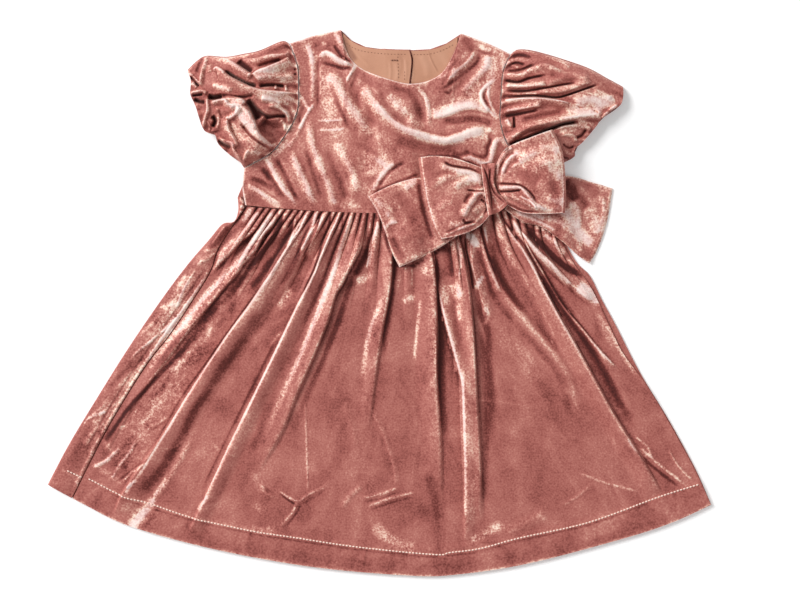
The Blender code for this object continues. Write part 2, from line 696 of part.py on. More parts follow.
TAIL = 2.6            # two layers of velvet, sewn and turned
TAILS = {
    "left": dict(
        top=((-10, 95.5), (12, 106), (34.5, 112), (62, 114)),
        bottom=((18, 32), (40, 42), (58, 52), (78, 66)),
        left=((-10, 95.5), (-2, 82), (4.5, 66), (11, 46), (18, 32)),
        right=((62, 114), (72, 92), (78, 66)),
    ),
    "right": dict(
        top=((118, 110), (165, 114.5), (193, 108), (209.7, 103)),
        bottom=((112, 84), (128.7, 72.3), (144.5, 68.4), (164, 55), (178, 42.8), (188.5, 35.6)),
        left=((118, 110), (114, 97), (112, 84)),
        right=((209.7, 103), (204.3, 72), (195.8, 47.7), (188.5, 35.6)),
    ),
}
LOOP_WALL = 1.8
LOOP_SPACE = 2.4      # between a loop's two layers where it folds back
LOOPS = {
    "left": dict(
        upper=((93.5, 120), (82, 124.5), (66, 129.5), (48, 131.4), (34.6, 129.6)),
        lower=((98.5, 78.5), (88, 67.5), (70, 60), (52.7, 56.7)),
        outer=((34.6, 129.6), (37, 110), (40, 91), (46, 70), (52.7, 56.7)),
        inner=((93.5, 120), (94.5, 100), (98.5, 78.5)),
        puff=5.0,
        folds=creases((
            (((50, 124), (70, 121), (93, 117)), 2.2, 7),
            (((42, 102), (66, 105), (93, 109)), 2.2, 8),
            (((72, 76), (82, 94), (92, 99)), 4.0, 8),
            (((60, 90), (78, 100), (92, 104)), -2.0, 6),
        )),
    ),
    "right": dict(
        upper=((104, 123), (113, 138), (134.5, 147), (154, 154)),
        lower=((113, 88), (128, 80.5), (148, 79.5), (166, 80.5)),
        outer=((154, 154), (161, 141), (165, 124), (167, 100), (166, 80.5)),
        inner=((104, 123), (104.5, 106), (113, 88)),
        puff=5.0,
        folds=creases((
            (((106, 112), (122, 124), (146, 134)), 2.4, 8),
            (((105, 105), (121, 104), (134, 95), (164, 84)), 3.4, 8),
            (((106, 109), (122, 109), (140, 100)), -2.4, 6),
        )),
    ),
}


def tail(side, velvet):
    """A tail of the bow: a flat pad that lies on whatever is under it."""
    sizes = TAILS[side]
    place = panel(*(Edge(sizes[name]) for name in ("top", "bottom", "left", "right")))

    def sides(u, v):
        x, y = place(u, v)
        low = under.bed(x, y, 9.5)
        thin = 0.55 + 0.45 * ease(12 * min(u, 1 - u, v, 1 - v))
        return (x, y, low + TAIL * thin), (x, y, low)
    return cloth(f"bow_tail_{side}", velvet, even(12), even(9), sides)


def loop(side, velvet):
    """A loop of the bow: a band folded back under itself, open above and below, that the knot pinches."""
    sizes = LOOPS[side]
    place = panel(*(Edge(sizes[name]) for name in ("upper", "lower", "inner", "outer")))
    top_columns, turn_columns, low_columns = 9, 4, 5
    columns = top_columns + turn_columns + low_columns

    def sides(u, v):
        column = round(u * columns)
        turn = LOOP_WALL + 0.5 * LOOP_SPACE
        reach = 1 - turn / (place(1, v) - place(0, v)).length

        def low(t):
            return under.bed(*place(t, v), 9.5)
        if column <= top_columns:
            t = reach * column / top_columns
            x, y = place(t, v)
            swell = math.sin(math.pi * 0.86 * t / reach) ** 0.8 * math.sin(math.pi * (0.12 + 0.76 * v))
            high = low(t) + 2 * turn + sizes["puff"] * swell + sizes["folds"](x, y) * ease(6 * (1 - t))
            return (x, y, high), (x, y, high - LOOP_WALL)
        if column < top_columns + turn_columns:
            angle = math.pi * (column - top_columns) / turn_columns
            centre, way = place(reach, v), (place(1, v) - place(reach, v)).normalized()
            outer = centre + way * turn * math.sin(angle)
            inner = centre + way * (turn - LOOP_WALL) * math.sin(angle)
            middle = low(reach) + turn
            return ((*outer, middle + turn * math.cos(angle)),
                    (*inner, middle + (turn - LOOP_WALL) * math.cos(angle)))
        t = reach * (columns - column) / low_columns
        x, y = place(t, v)
        return (x, y, low(t)), (x, y, low(t) + LOOP_WALL)
    return cloth(f"bow_loop_{side}", velvet, even(columns), even(8), sides)


KNOT_WALL = 2.0


def knot(velvet):
    """The band round the middle of the bow, in three soft pleats."""
    place = panel(top=Edge(((90, 125.5), (97, 126), (107, 125))),
                  bottom=Edge(((96.5, 77), (105, 79), (116, 88))),
                  left=Edge(((90, 125.5), (92.5, 103), (96.5, 77))),
                  right=Edge(((107, 125), (103.5, 103), (116, 88))))

    def sides(u, v):
        x, y = place(u, v)
        low = under.bed(x, y, 5.0)
        pleat = 0.8 * abs(math.sin(3 * math.pi * u)) * math.sin(math.pi * v)
        return (x, y, low + KNOT_WALL + pleat), (x, y, low)
    return cloth("bow_knot", velvet, even(9), even(9), sides)


# ---------------------------------------------------------------- the dress

for thing in list(bpy.data.objects):
    bpy.data.objects.remove(thing, do_unlink=True)
dress = bpy.data.collections.new("toddler party dress")
cutters = bpy.data.collections.new("cutters")
bpy.context.scene.collection.children.link(dress)
bpy.context.scene.collection.children.link(cutters)

velvet_finish = finish("rose velvet", (0.44, 0.14, 0.12), 0.75)
satin_finish = finish("peach lining", (0.64, 0.33, 0.21), 0.45)
button_finish = finish("rose button", (0.5, 0.2, 0.18), 0.35)

under = Heap()
under.add(back_half_right(velvet_finish))
under.add(back_half_left(velvet_finish))
buttons(button_finish)
under.add(*linings(satin_finish))
under.add(back_skirt(velvet_finish))
bodice = front_bodice(velvet_finish)
under.add(bodice, front_skirt(velvet_finish))
under.add(sleeve("left", velvet_finish), sleeve("right", velvet_finish))
under.add(tail("left", velvet_finish), tail("right", velvet_finish))
under.add(loop("left", velvet_finish), loop("right", velvet_finish))
knot(velvet_finish)
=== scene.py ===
import math

import bmesh
import bpy
import numpy as np
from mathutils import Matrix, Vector
from mathutils.bvhtree import BVHTree


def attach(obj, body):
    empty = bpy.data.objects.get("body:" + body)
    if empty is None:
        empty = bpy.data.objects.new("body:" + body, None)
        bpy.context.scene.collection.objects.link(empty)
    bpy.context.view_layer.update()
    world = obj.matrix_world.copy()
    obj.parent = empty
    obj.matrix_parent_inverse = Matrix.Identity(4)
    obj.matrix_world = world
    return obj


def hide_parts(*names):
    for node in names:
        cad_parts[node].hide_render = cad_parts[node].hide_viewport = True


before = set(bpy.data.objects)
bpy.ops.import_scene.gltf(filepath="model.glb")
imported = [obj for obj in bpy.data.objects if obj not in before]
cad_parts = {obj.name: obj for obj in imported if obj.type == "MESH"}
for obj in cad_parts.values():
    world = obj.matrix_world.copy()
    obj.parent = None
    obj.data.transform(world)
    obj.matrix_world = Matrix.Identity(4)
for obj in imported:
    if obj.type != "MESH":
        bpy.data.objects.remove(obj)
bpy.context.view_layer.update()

# a party dress laid flat: lengths here are in mm, and meshes are made in metres
# lines are read on a cutting mat of 0.9 mm squares, counted to the right and down from its corner
mat = dict(square=0.9, middle=(379.5, 303))

for thing in bpy.context.selected_objects:
    thing.select_set(False)

# ---- camera, floor and light

stage = dict(
    middle=(0.01845, 0.0027), height=1.70, lens=85, sensor=36, floor=8.0, floorAt=-0.0003, sky=0.43,
    paint={"Base Color": (0.93, 0.93, 0.93, 1), "Roughness": 0.9, "Specular IOR Level": 0.1,
           "Emission Color": (1, 1, 1, 1), "Emission Strength": 0.12},
    lamps=dict(key=(238, 2.4, (-3.0, 1.9, 2.7)), fill=(6, 1.2, (1.2, -0.9, 1.6))),
)


def areaLight(name, power, size, place):
    lamp = bpy.data.lights.new(name, 'AREA')
    lamp.energy = power
    lamp.size = size
    holder = bpy.data.objects.new(name, lamp)
    bpy.context.scene.collection.objects.link(holder)
    holder.location = place
    aim = Vector((*stage["middle"], 0)) - Vector(place)
    holder.rotation_euler = aim.to_track_quat('-Z', 'Y').to_euler()


def setStage():
    scene = bpy.context.scene
    eye = bpy.data.cameras.new("camera")
    eye.lens = stage["lens"]
    eye.sensor_width = stage["sensor"]
    holder = bpy.data.objects.new("camera", eye)
    scene.collection.objects.link(holder)
    holder.location = (*stage["middle"], stage["height"])
    scene.camera = holder
    bpy.ops.mesh.primitive_plane_add(size=stage["floor"], location=(0, 0, stage["floorAt"]))
    floor = bpy.context.object
    floor.name = "floor"
    floor.select_set(False)
    paint = bpy.data.materials.new("pale floor")
    paint.use_nodes = True
    for socket, amount in stage["paint"].items():
        paint.node_tree.nodes["Principled BSDF"].inputs[socket].default_value = amount
    floor.data.materials.append(paint)
    world = bpy.data.worlds.new("soft sky")
    scene.world = world
    world.use_nodes = True
    sky = world.node_tree.nodes["Background"].inputs
    sky["Color"].default_value = (1, 1, 1, 1)
    sky["Strength"].default_value = stage["sky"]
    for name, (power, size, place) in stage["lamps"].items():
        areaLight(name, power, size, place)
    scene.view_settings.view_transform = 'Standard'


setStage()
print("stage set")

# ---- finishes


class Value:
    # a node's output, so that sums of shader values read as sums
    def __init__(self, tree, socket):
        self.tree, self.socket = tree, socket

    def math(self, operation, *others):
        step = self.tree.nodes.new("ShaderNodeMath")
        step.operation = operation
        for slot, item in zip(step.inputs, (self,) + others):
            plug(self.tree, slot, item)
        return Value(self.tree, step.outputs[0])

    def __add__(self, other): return self.math('ADD', other)
    def __sub__(self, other): return self.math('SUBTRACT', other)
    def __mul__(self, other): return self.math('MULTIPLY', other)
    def __rsub__(self, other): return self.math('MULTIPLY', -1.0).math('ADD', other)
    __radd__, __rmul__ = __add__, __mul__

    def within(self, low, high): return self.math('MAXIMUM', low).math('MINIMUM', high)


def plug(tree, slot, item):
    if isinstance(item, Value):
        tree.links.new(item.socket, slot)
    else:
        slot.default_value = item


class Finish:
    # a principled material; its even sockets are set by name
    def __init__(self, name, **even):
        self.material = bpy.data.materials.new(name)
        self.material.use_nodes = True
        self.tree = self.material.node_tree
        self.shader = self.tree.nodes["Principled BSDF"]
        for socket, amount in even.items():
            self.shader.inputs[socket.replace("_", " ")].default_value = amount
        self.place = self.node("ShaderNodeTexCoord", out=3)

    def node(self, kind, settings=None, out=0, stops=None, **sockets):
        step = self.tree.nodes.new(kind)
        for key, amount in (settings or {}).items():
            setattr(step, key, amount)
        if stops:
            ramp = step.color_ramp
            while len(ramp.elements) < len(stops):
                ramp.elements.new(0.5)
            for element, (place, colour) in zip(ramp.elements, stops):
                element.position = place
                element.color = (*colour, 1)
        for socket, item in sockets.items():
            key = int(socket[1:]) if socket[0] == "i" and socket[1:].isdigit() else socket.replace("_", " ")
            plug(self.tree, step.inputs[key], item)
        return Value(self.tree, step.outputs[out])

    def noise(self, scale, detail, **more):
        sockets = dict(Vector=self.place, Scale=scale, Detail=detail) | more
        return self.node("ShaderNodeTexNoise", **sockets)

    def painted(self, layer): return self.node("ShaderNodeAttribute", dict(attribute_name=layer), out=2)

    def feed(self, **sockets):
        for socket, item in sockets.items():
            plug(self.tree, self.shader.inputs[socket.replace("_", " ")], item)
        return self.material


velvet = dict(
    sheen=dict(Sheen_Weight=0.5, Sheen_Roughness=0.4, Sheen_Tint=(1.0, 0.6, 0.5, 1), Specular_IOR_Level=0.3),
    grain=620.0, fleck=230.0, crush=55.0, patch=20.0, stretch=(1.0, 0.42, 1.0),
    # above this nap and painted light the pile counts as a crest: it lies evener there, and a painted lilac
    # sheen covers its colour
    crest=0.9, crestSteep=1.6, crestEven=0.7, lilacSheen=0.8,
    # how broken crushed pile is, and how grainy
    crushedBroken=0.75, mostBroken=1.1, crushedGrain=0.25,
    # the tone of even pile, and what each of these adds to it
    even=0.42, byNapAndLight=0.29, byCrest=-0.08, byPatch=0.4,
    # what a noise adds to the tone of even pile, and how much more it adds where the pile is broken
    byCrush=(0.44, 0.8), byFleck=(0.14, 0.9), byGrain=(0.45, 0.7),
    relief=dict(Strength=0.45, Distance=0.0009), fleckHigh=0.3, fuzz=dict(Strength=0.5, Distance=0.0003),
    rough=0.78, paleSmooth=0.25,
    # colours from painted shade through the rose of the pile to painted highlights
    tones=((0.0, (0.05, 0.004, 0.003)), (0.2, (0.135, 0.022, 0.017)), (0.38, (0.325, 0.090, 0.074)),
           (0.52, (0.43, 0.148, 0.120)), (0.66, (0.61, 0.29, 0.23)), (0.8, (0.78, 0.51, 0.41)),
           (1.0, (0.93, 0.76, 0.63))),
    # the painted lilac sheen on crests
    crestTones=((0.4, (0.44, 0.18, 0.165)), (0.65, (0.66, 0.40, 0.37)), (0.85, (0.80, 0.59, 0.56)),
                (1.0, (0.88, 0.72, 0.68))),
)


def velvetFinish():
    plan = velvet
    make = Finish("rose velvet", **plan["sheen"])
    cloth = make.node("ShaderNodeTexCoord", out=2)
    drawn = make.node("ShaderNodeVectorMath", dict(operation='MULTIPLY'), i0=cloth, i1=plan["stretch"])
    grain = make.noise(plan["grain"], 2.0)
    fleck = make.noise(plan["fleck"], 4.0, Roughness=0.7)
    crush = make.noise(plan["crush"], 5.0, Vector=drawn, Roughness=0.6, Distortion=0.8)
    patch = make.noise(plan["patch"], 3.0, Distortion=1.2)
    napAndLight, crushed = make.painted("napAndLight"), make.painted("crushed")
    # half lifted pile is broken up by the crush and by flecks; on crests and in hollows it lies even
    # the nap attribute also carries painted light: it sets painted highlights and painted shade in the tone,
    # and a painted lilac sheen on crests
    crest = ((napAndLight - plan["crest"]) * plan["crestSteep"]).within(0.0, 1.0)
    lit = napAndLight.within(0.0, plan["crest"]) * (1 - plan["crestEven"] * crest)
    broken = (lit + plan["crushedBroken"] * crushed).within(0.0, plan["mostBroken"])
    grainy = (lit + plan["crushedGrain"] * crushed).within(0.0, 1.0)
    tone = plan["even"] + napAndLight * plan["byNapAndLight"] + crest * plan["byCrest"] + (patch - 0.5) * plan["byPatch"]
    for noise, share, kind in (
            (crush, broken, "byCrush"), (fleck, broken, "byFleck"), (grain, grainy, "byGrain")):
        even, more = plan[kind]
        tone = tone + (noise - 0.5) * (even + more * share)
    golden = make.node("ShaderNodeValToRGB", stops=plan["tones"], Fac=tone)
    lilacSheen = make.node("ShaderNodeValToRGB", stops=plan["crestTones"], Fac=tone)
    colour = make.node("ShaderNodeMix", dict(data_type='RGBA'), out=2,
                       i0=crest * plan["lilacSheen"], i6=golden, i7=lilacSheen)
    relief = make.node("ShaderNodeBump", Height=crush + fleck * plan["fleckHigh"], **plan["relief"])
    fuzz = make.node("ShaderNodeBump", Height=grain, Normal=relief, **plan["fuzz"])
    rough = plan["rough"] - plan["paleSmooth"] * tone.within(0.0, 1.0)
    return make.feed(Base_Color=colour, Roughness=rough, Normal=fuzz)


def satinFinish():
    make = Finish("peach satin", Roughness=0.45, Sheen_Weight=0.15, Specular_IOR_Level=0.4)
    weave, cloud = make.noise(1800.0, 2.0), make.noise(40.0, 4.0)
    tone = 0.5 + (weave - 0.5) * 0.25 + (cloud - 0.5) * 0.5 + make.painted("napAndLight") * 0.4
    colour = make.node("ShaderNodeValToRGB", Fac=tone, stops=(
        (0.0, (0.22, 0.08, 0.05)), (0.45, (0.49, 0.235, 0.145)), (0.7, (0.56, 0.29, 0.19)),
        (1.0, (0.70, 0.44, 0.32))))
    relief = make.node("ShaderNodeBump", Strength=0.3, Distance=0.0002, Height=weave)
    return make.feed(Base_Color=colour, Roughness=0.48 - 0.1 * tone, Normal=relief)


def threadFinish(name, dark, pale):
    make = Finish(name, Roughness=0.5, Specular_IOR_Level=0.4)
    twist = make.noise(2500.0, 2.0)
    colour = make.node("ShaderNodeValToRGB", Fac=twist, stops=((0.3, dark), (0.7, pale)))
    return make.feed(Base_Color=colour)


def buttonFinish():
    make = Finish("rose button", Coat_Weight=0.3)
    cloud = make.noise(300.0, 3.0)
    colour = make.node("ShaderNodeValToRGB", Fac=cloud, stops=(
        (0.3, (0.42, 0.16, 0.14)), (0.7, (0.58, 0.27, 0.24))))
    return make.feed(Base_Color=colour, Roughness=0.25 + 0.15 * cloud)


rose, peach, buttonRose = velvetFinish(), satinFinish(), buttonFinish()
thread = threadFinish("rose thread", (0.72, 0.42, 0.34), (1.0, 0.84, 0.74))
peachThread = threadFinish("peach thread", (0.22, 0.09, 0.06), (0.36, 0.17, 0.11))
print("finishes made")

# ---- lines, panels and creases


# painted light by form: the palest and darkest that slopes are painted, and heights as raised() reads them
# for painted highlights on crests and painted shade in hollows; the share of a crease at its ends, and how
# much wider its nap and painted light is than itself
pile = dict(slope=0.4, heights=((40, 0.32, -0.8, 0.45), (5, 0.9, -0.7, 0.5)), ends=0.1, wider=1.15)


def onMat(points):
    # x, y, x, y ... in squares of the mat, as places in mm
    squares = np.reshape(points, (-1, 2)) - mat["middle"]
    return squares * (mat["square"], -mat["square"])


def curve(points, steps=8):
    # a smooth line through the points, which are x, y, x, y ...
    p = np.reshape(points, (-1, 2)).astype(float)
    p = np.vstack((p[:1], p, p[-1:]))
    t = (np.arange(steps) / steps)[:, None]
    runs = [0.5 * (2 * b + (c - a) * t + (2 * a - 5 * b + 4 * c - d) * t ** 2
                   + (3 * b - a - 3 * c + d) * t ** 3)
            for a, b, c, d in zip(p, p[1:], p[2:], p[3:])]
    return np.vstack(runs + [p[-1:]])


def lengthsOf(line):
    return np.append(0, np.cumsum(np.linalg.norm(np.diff(line, axis=0), axis=1)))


def spotsOn(line, lengths, marks):
    return np.stack([np.interp(marks, lengths, line[:, k]) for k in (0, 1)], -1)


class Edge:
    # one side of a panel: smooth runs that meet in corners, each with its share of the way
    def __init__(self, *runs, shares=(1.0,)):
        self.starts = np.cumsum((0.0,) + tuple(shares))
        self.runs = []
        for run in runs:
            line = curve(run)
            lengths = lengthsOf(line)
            self.runs.append((line, lengths / lengths[-1]))

    def __call__(self, t):
        t = np.clip(np.asarray(t, float), 0, 1)
        out = np.zeros(t.shape + (2,))
        for (line, lengths), low, high in zip(self.runs, self.starts, self.starts[1:]):
            here = t >= low
            out[here] = spotsOn(line, lengths, (t[here] - low) / (high - low))
        return out


def panel(top, bottom, left, right, fade=1):
    # places inside four edges; fade draws the bend of the left and right edges closer to them
    corners = [side(np.array(end)) for side in (top, bottom) for end in (0.0, 1.0)]

    def place(u, v):
        u, v = np.broadcast_arrays(np.asarray(u, float), np.asarray(v, float))
        along, across = v[..., None], u[..., None]
        straight = top(u) * (1 - along) + bottom(u) * along
        bentLeft = left(v) - (corners[0] * (1 - along) + corners[2] * along)
        bentRight = right(v) - (corners[1] * (1 - along) + corners[3] * along)
        return straight + bentLeft * (1 - across) ** fade + bentRight * across ** fade
    return place


def ease(t):
    t = np.clip(t, 0, 1)
    return t * t * (3 - 2 * t)


def inward(share):
    # how far in from the nearer of two edges, from 0 to a half
    return np.minimum(share, 1 - share)


def arched(share):
    # 1 in the middle, and round down to 0 at both edges
    return np.sqrt(np.maximum(0, 1 - (2 * share - 1) ** 4))


def glint(away, reach):
    # a bell that falls away from an edge: what is left of it at this distance; it shapes grooves and lowered
    # rims, and painted highlights along edges
    return np.exp(-(away / reach) ** 2)


def wave(size, turns, share):
    return size * np.sin(turns * share)


def steps(*runs):
    # places from 0 to 1: each run is (up to, how many)
    marks, start = [0.0], 0.0
    for end, count in runs:
        marks += list(start + (end - start) * (np.arange(count) + 1) / count)
        start = end
    return np.array(marks)


def soften(z, times=1):
    for _ in range(times):
        wide = np.pad(z, 1, mode="edge")
        z = (4 * z + wide[:-2, 1:-1] + wide[2:, 1:-1] + wide[1:-1, :-2] + wide[1:-1, 2:]) / 8
    return z


def raised(z, heights):
    # painted light: crests are painted pale as highlights, and hollows painted dark as shade
    # heights are: how wide its surroundings are, their weight, the darkest, the palest
    return sum(np.clip(weight * (z - soften(z, reach)), dark, pale) for reach, weight, dark, pale in heights)


def litBySlope(steep, slope):
    # painted light from the left: slopes that face the left are painted pale, and slopes that face the right
    # dark
    return np.clip(steep * slope, -pile["slope"], pile["slope"])


def litByForm(place, z, steep):
    # painted light by slope, and painted highlights and shade by relief
    return litBySlope(steep, slopeOf(place, z)) + raised(z, pile["heights"])


def runAlong(amount, along):
    # values run along the line and taper to its ends, over a shorter way where there are more of them
    values = amount if isinstance(amount, tuple) else (amount,)
    steep = 4 + 2 * len(values)
    taper = np.minimum(1, steep * inward(along) + pile["ends"])
    return np.interp(along, np.linspace(0, 1, len(values)), values) * taper


def press(xy, rows):
    # ridges and troughs along lines, and the nap and painted light that go with them: mostly painted
    # highlights and sheen on ridges and painted shade in troughs
    # a row is a line on the mat, its half width, its nap and painted light, and its height if it has one; a
    # half width
    # can be two: on the line's right hand, which is the left of the dress, and on its left hand
    height, napAndLight = np.zeros(xy.shape[:-1]), np.zeros(xy.shape[:-1])
    for points, wide, pale, *high in rows:
        line = curve(onMat(points), 4)
        right, left = mat["square"] * np.broadcast_to(wide, 2)
        reach = max(right, left)
        near = np.all((xy > line.min(0) - reach) & (xy < line.max(0) + reach), axis=-1)
        spots = xy[near]
        closest = np.full(len(spots), np.inf)
        side, along = np.zeros(len(spots)), np.zeros(len(spots))
        for index in range(len(line) - 1):
            way, away = line[index + 1] - line[index], spots - line[index]
            t = np.clip(away @ way / max(way @ way, 1e-9), 0, 1)
            distance = np.linalg.norm(away - t[:, None] * way, axis=1)
            closer = distance < closest
            closest = np.where(closer, distance, closest)
            side = np.where(closer, way[0] * away[:, 1] - way[1] * away[:, 0], side)
            along = np.where(closer, (index + t) / (len(line) - 1), along)
        inside = 1 - closest / np.where(side > 0, left, right)
        napAndLight[near] += runAlong(pale, along) * ease(pile["wider"] * inside)
        if high:
            height[near] += runAlong(high[0], along) * ease(inside)
    return height, napAndLight


print("tools ready")

# ---- cloth

# in mm: a velvet wall, the gap at a seam, the underside of the front, the thinnest wall; how much thicker a
# wall may be on a steep slope, the share of the nap and painted light on the inner side, the degrees that
# make an edge sharp
wall = dict(thick=1.3, seam=0.3, frontLow=1.8, least=0.4, steepest=2.2, innerNapAndLight=0.3, sharp=65)


def thinned(count, coarse):
    return np.unique(np.append(np.arange(0, count, coarse), count - 1))


def shell(name, outer, inner, napAndLight, finish, tube=False, coarse=3, crushed=0.0):
    # a closed wall between two grids of places: rows run down, columns to the right
    # its inner side has fewer faces, and its rims join the two
    rows, columns = outer.shape[:2]
    index = np.arange(rows * columns).reshape(rows, columns)
    if tube:
        index = np.column_stack((index, index[:, 0]))
    down, across = thinned(rows, coarse), thinned(index.shape[1], coarse)
    kept = across[:-1] if tube else across
    inside = inner[down][:, kept]
    rough = rows * columns + np.arange(inside.shape[0] * inside.shape[1]).reshape(inside.shape[:2])
    if tube:
        rough = np.column_stack((rough, rough[:, 0]))

    def quads(grid):
        return np.stack((grid[:-1, :-1], grid[1:, :-1], grid[1:, 1:], grid[:-1, 1:]), -1).reshape(-1, 4)

    faces = quads(index).tolist() + quads(rough)[:, ::-1].tolist()
    rims = [(index[0], rough[0], across),
            (index[-1, ::-1], rough[-1, ::-1], (index.shape[1] - 1 - across)[::-1])]
    if not tube:
        rims += [(index[::-1, 0], rough[::-1, 0], (rows - 1 - down)[::-1]),
                 (index[:, -1], rough[:, -1], down)]
    for fine, few, marks in rims:
        for step in range(len(marks) - 1):
            run = fine[marks[step]:marks[step + 1] + 1].tolist()
            faces.append([*run, int(few[step + 1]), int(few[step])])
    mesh = bpy.data.meshes.new(name)
    places = np.concatenate((outer.reshape(-1, 3), inside.reshape(-1, 3))) / 1000
    mesh.from_pydata(places.tolist(), [], faces)
    for layer, amount in dict(napAndLight=napAndLight, crushed=np.broadcast_to(crushed, napAndLight.shape)).items():
        both = np.append(amount.ravel(), wall["innerNapAndLight"] * amount[down][:, kept].ravel())
        mesh.attributes.new(layer, 'FLOAT', 'POINT').data.foreach_set("value", both.astype(np.float32))
    wide = np.linalg.norm(np.diff(outer, axis=1), axis=-1).mean(0).cumsum()
    long = np.linalg.norm(np.diff(outer, axis=0), axis=-1).mean(1).cumsum()
    laid = np.stack(np.meshgrid(np.append(0, wide), np.append(0, long)), -1) / 1000
    lay(mesh, np.concatenate((laid.reshape(-1, 2), laid[down][:, kept].reshape(-1, 2))))
    return finished(name, mesh, finish, wall["sharp"])


def lay(mesh, spots):
    # where each vertex lies on the flat cloth, in metres
    corners = np.zeros(len(mesh.loops), int)
    mesh.loops.foreach_get("vertex_index", corners)
    mesh.uv_layers.new(name="cloth").data.foreach_set("uv", spots[corners].ravel().astype(np.float32))


def finished(name, mesh, finish, angle):
    mesh.materials.append(finish)
    mesh.shade_smooth()
    mesh.set_sharp_from_angle(angle=math.radians(angle))
    piece = bpy.data.objects.new(name, mesh)
    bpy.context.scene.collection.objects.link(piece)
    return piece


def dress(piece, node):
    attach(piece, "root")
    if node:
        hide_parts(node)
    print("made", piece.name)
    return piece


trees = {}
# in metres: where rays start above and below, and from where the nearest cloth is sought if they miss
rays = dict(above=0.2, below=-0.1, near=0.03)


def heightOver(mesh, xy, below=False):
    # the mesh's upper or lower side over each place, in mm
    if mesh.name not in trees:
        trees[mesh.name] = BVHTree.FromPolygons(
            [vertex.co for vertex in mesh.vertices], [face.vertices for face in mesh.polygons])
    tree = trees[mesh.name]
    start, way, near = (rays["below"], 1, 0.0) if below else (rays["above"], -1, rays["near"])
    out = np.zeros(xy.shape[:-1])
    for index in np.ndindex(out.shape):
        x, y = xy[index] / 1000
        hit = tree.ray_cast(Vector((x, y, start)), Vector((0, 0, way)))[0]
        if hit is None:
            hit = tree.find_nearest(Vector((x, y, near)))[0]
        out[index] = hit.z * 1000
    return out


def solidHeight(node, xy, below=False):
    return heightOver(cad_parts[node].data, xy, below)


def slopeOf(place, z, closest=0.05):
    # how the surface faces: above 0 where it faces the left
    # columns closer than closest, in mm, count as that far apart
    run = np.gradient(place[..., 0], axis=1)
    run = np.where(np.abs(run) < closest, closest, run)
    return np.gradient(z, axis=1) / run


def hangUnder(place, z, lowest, thick=wall["thick"]):
    # the inner side of a wall: as far under its outer side as keeps it as thick on a slope
    slope = slopeOf(place, z)
    return np.maximum(z - thick * np.minimum(np.hypot(1, slope), wall["steepest"]), lowest)


def stack(place, z):
    return np.concatenate((place, z[..., None]), -1)


# outlines, in mm from the middle of the dress
outline = dict(
    hem=(-298, -164, -266, -181, -223, -201, -147, -221.5, -61, -237, 26, -244.8, 69, -244, 134, -234, 220,
         -211.5, 264, -197, 298.4, -181.5),
    leftFold=(-127.5, 95, -127, 83, -131, 73, -141, 71, -153, 57, -172, 35, -196, 3, -226, -41, -253, -84,
         -279, -127, -298, -163),
    leftSeam=(-122.9, 95, -120.6, 86.5, -130, 72, -145, 48, -152, 28, -168, 2, -188, -28, -211, -58, -240,
         -105, -257, -137, -276, -175.5),
    rightEdge=(170, 87, 165, 62, 177, 37, 189, 25, 200, 3, 212, -19, 234, -62, 260, -105, 284, -149, 298.4,
         -181.5),
    rightSeam=(169.5, 87.5, 164, 60, 173, 38, 188, 17, 201, -8, 211, -30, 220, -47, 241, -75.5, 259, -105.5,
         283, -149.5, 297.6, -181),
    backWaist=(-127.5, 94.85, 170, 86.85),
    neckFront=(-34.7, 245.3, -30.2, 228.2, -22.6, 215.6, -8, 206.4, 17.6, 198, 31.7, 196.7, 46.8, 200.7,
         57.2, 207.9, 64.4, 219.6, 69.8, 232.2, 73.4, 242.1),
    neckBack=(-34.7, 245.3, -26.6, 237.1, -14, 230.7, 4, 228.2, 24, 227.5, 44.3, 228, 59.5, 233.1, 73.4,
         242.1),
    shoulderLeft=(-80.5, 233.2, -58, 240.5, -34.7, 245.3),
    shoulderRight=(73.4, 242.1, 97, 233.5, 117.5, 223.8),
    armholeLeft=(-80.5, 233.2, -73.4, 212.4, -72.5, 190.8, -72.8, 176.4, -77, 162.9, -85.1, 149.4, -96.8,
         135, -110.3, 126.9, -121.6, 121),
    armholeRight=(117.5, 223.8, 110.9, 207.9, 109.2, 190.8, 108.6, 176.9, 108, 166.5, 111.5, 150.3, 120,
         136, 138, 124, 160, 118.5),
    sideLeft=(-121.6, 121, -122.9, 104, -120.2, 87.8),
    sideRight=(160, 118.5, 166, 104, 169.7, 87.8),
)


# the waist is lowest in its middle, and higher at its ends
waist = dict(low=80.5, rise=7.3, middle=25, half=144.5)


def waistAt(x):
    return waist["low"] + waist["rise"] * ((x - waist["middle"]) / waist["half"]) ** 2


def readAcross(points):
    line = curve(points)
    return lambda x: np.interp(x, line[:, 0], line[:, 1])


# ---- back of the skirt

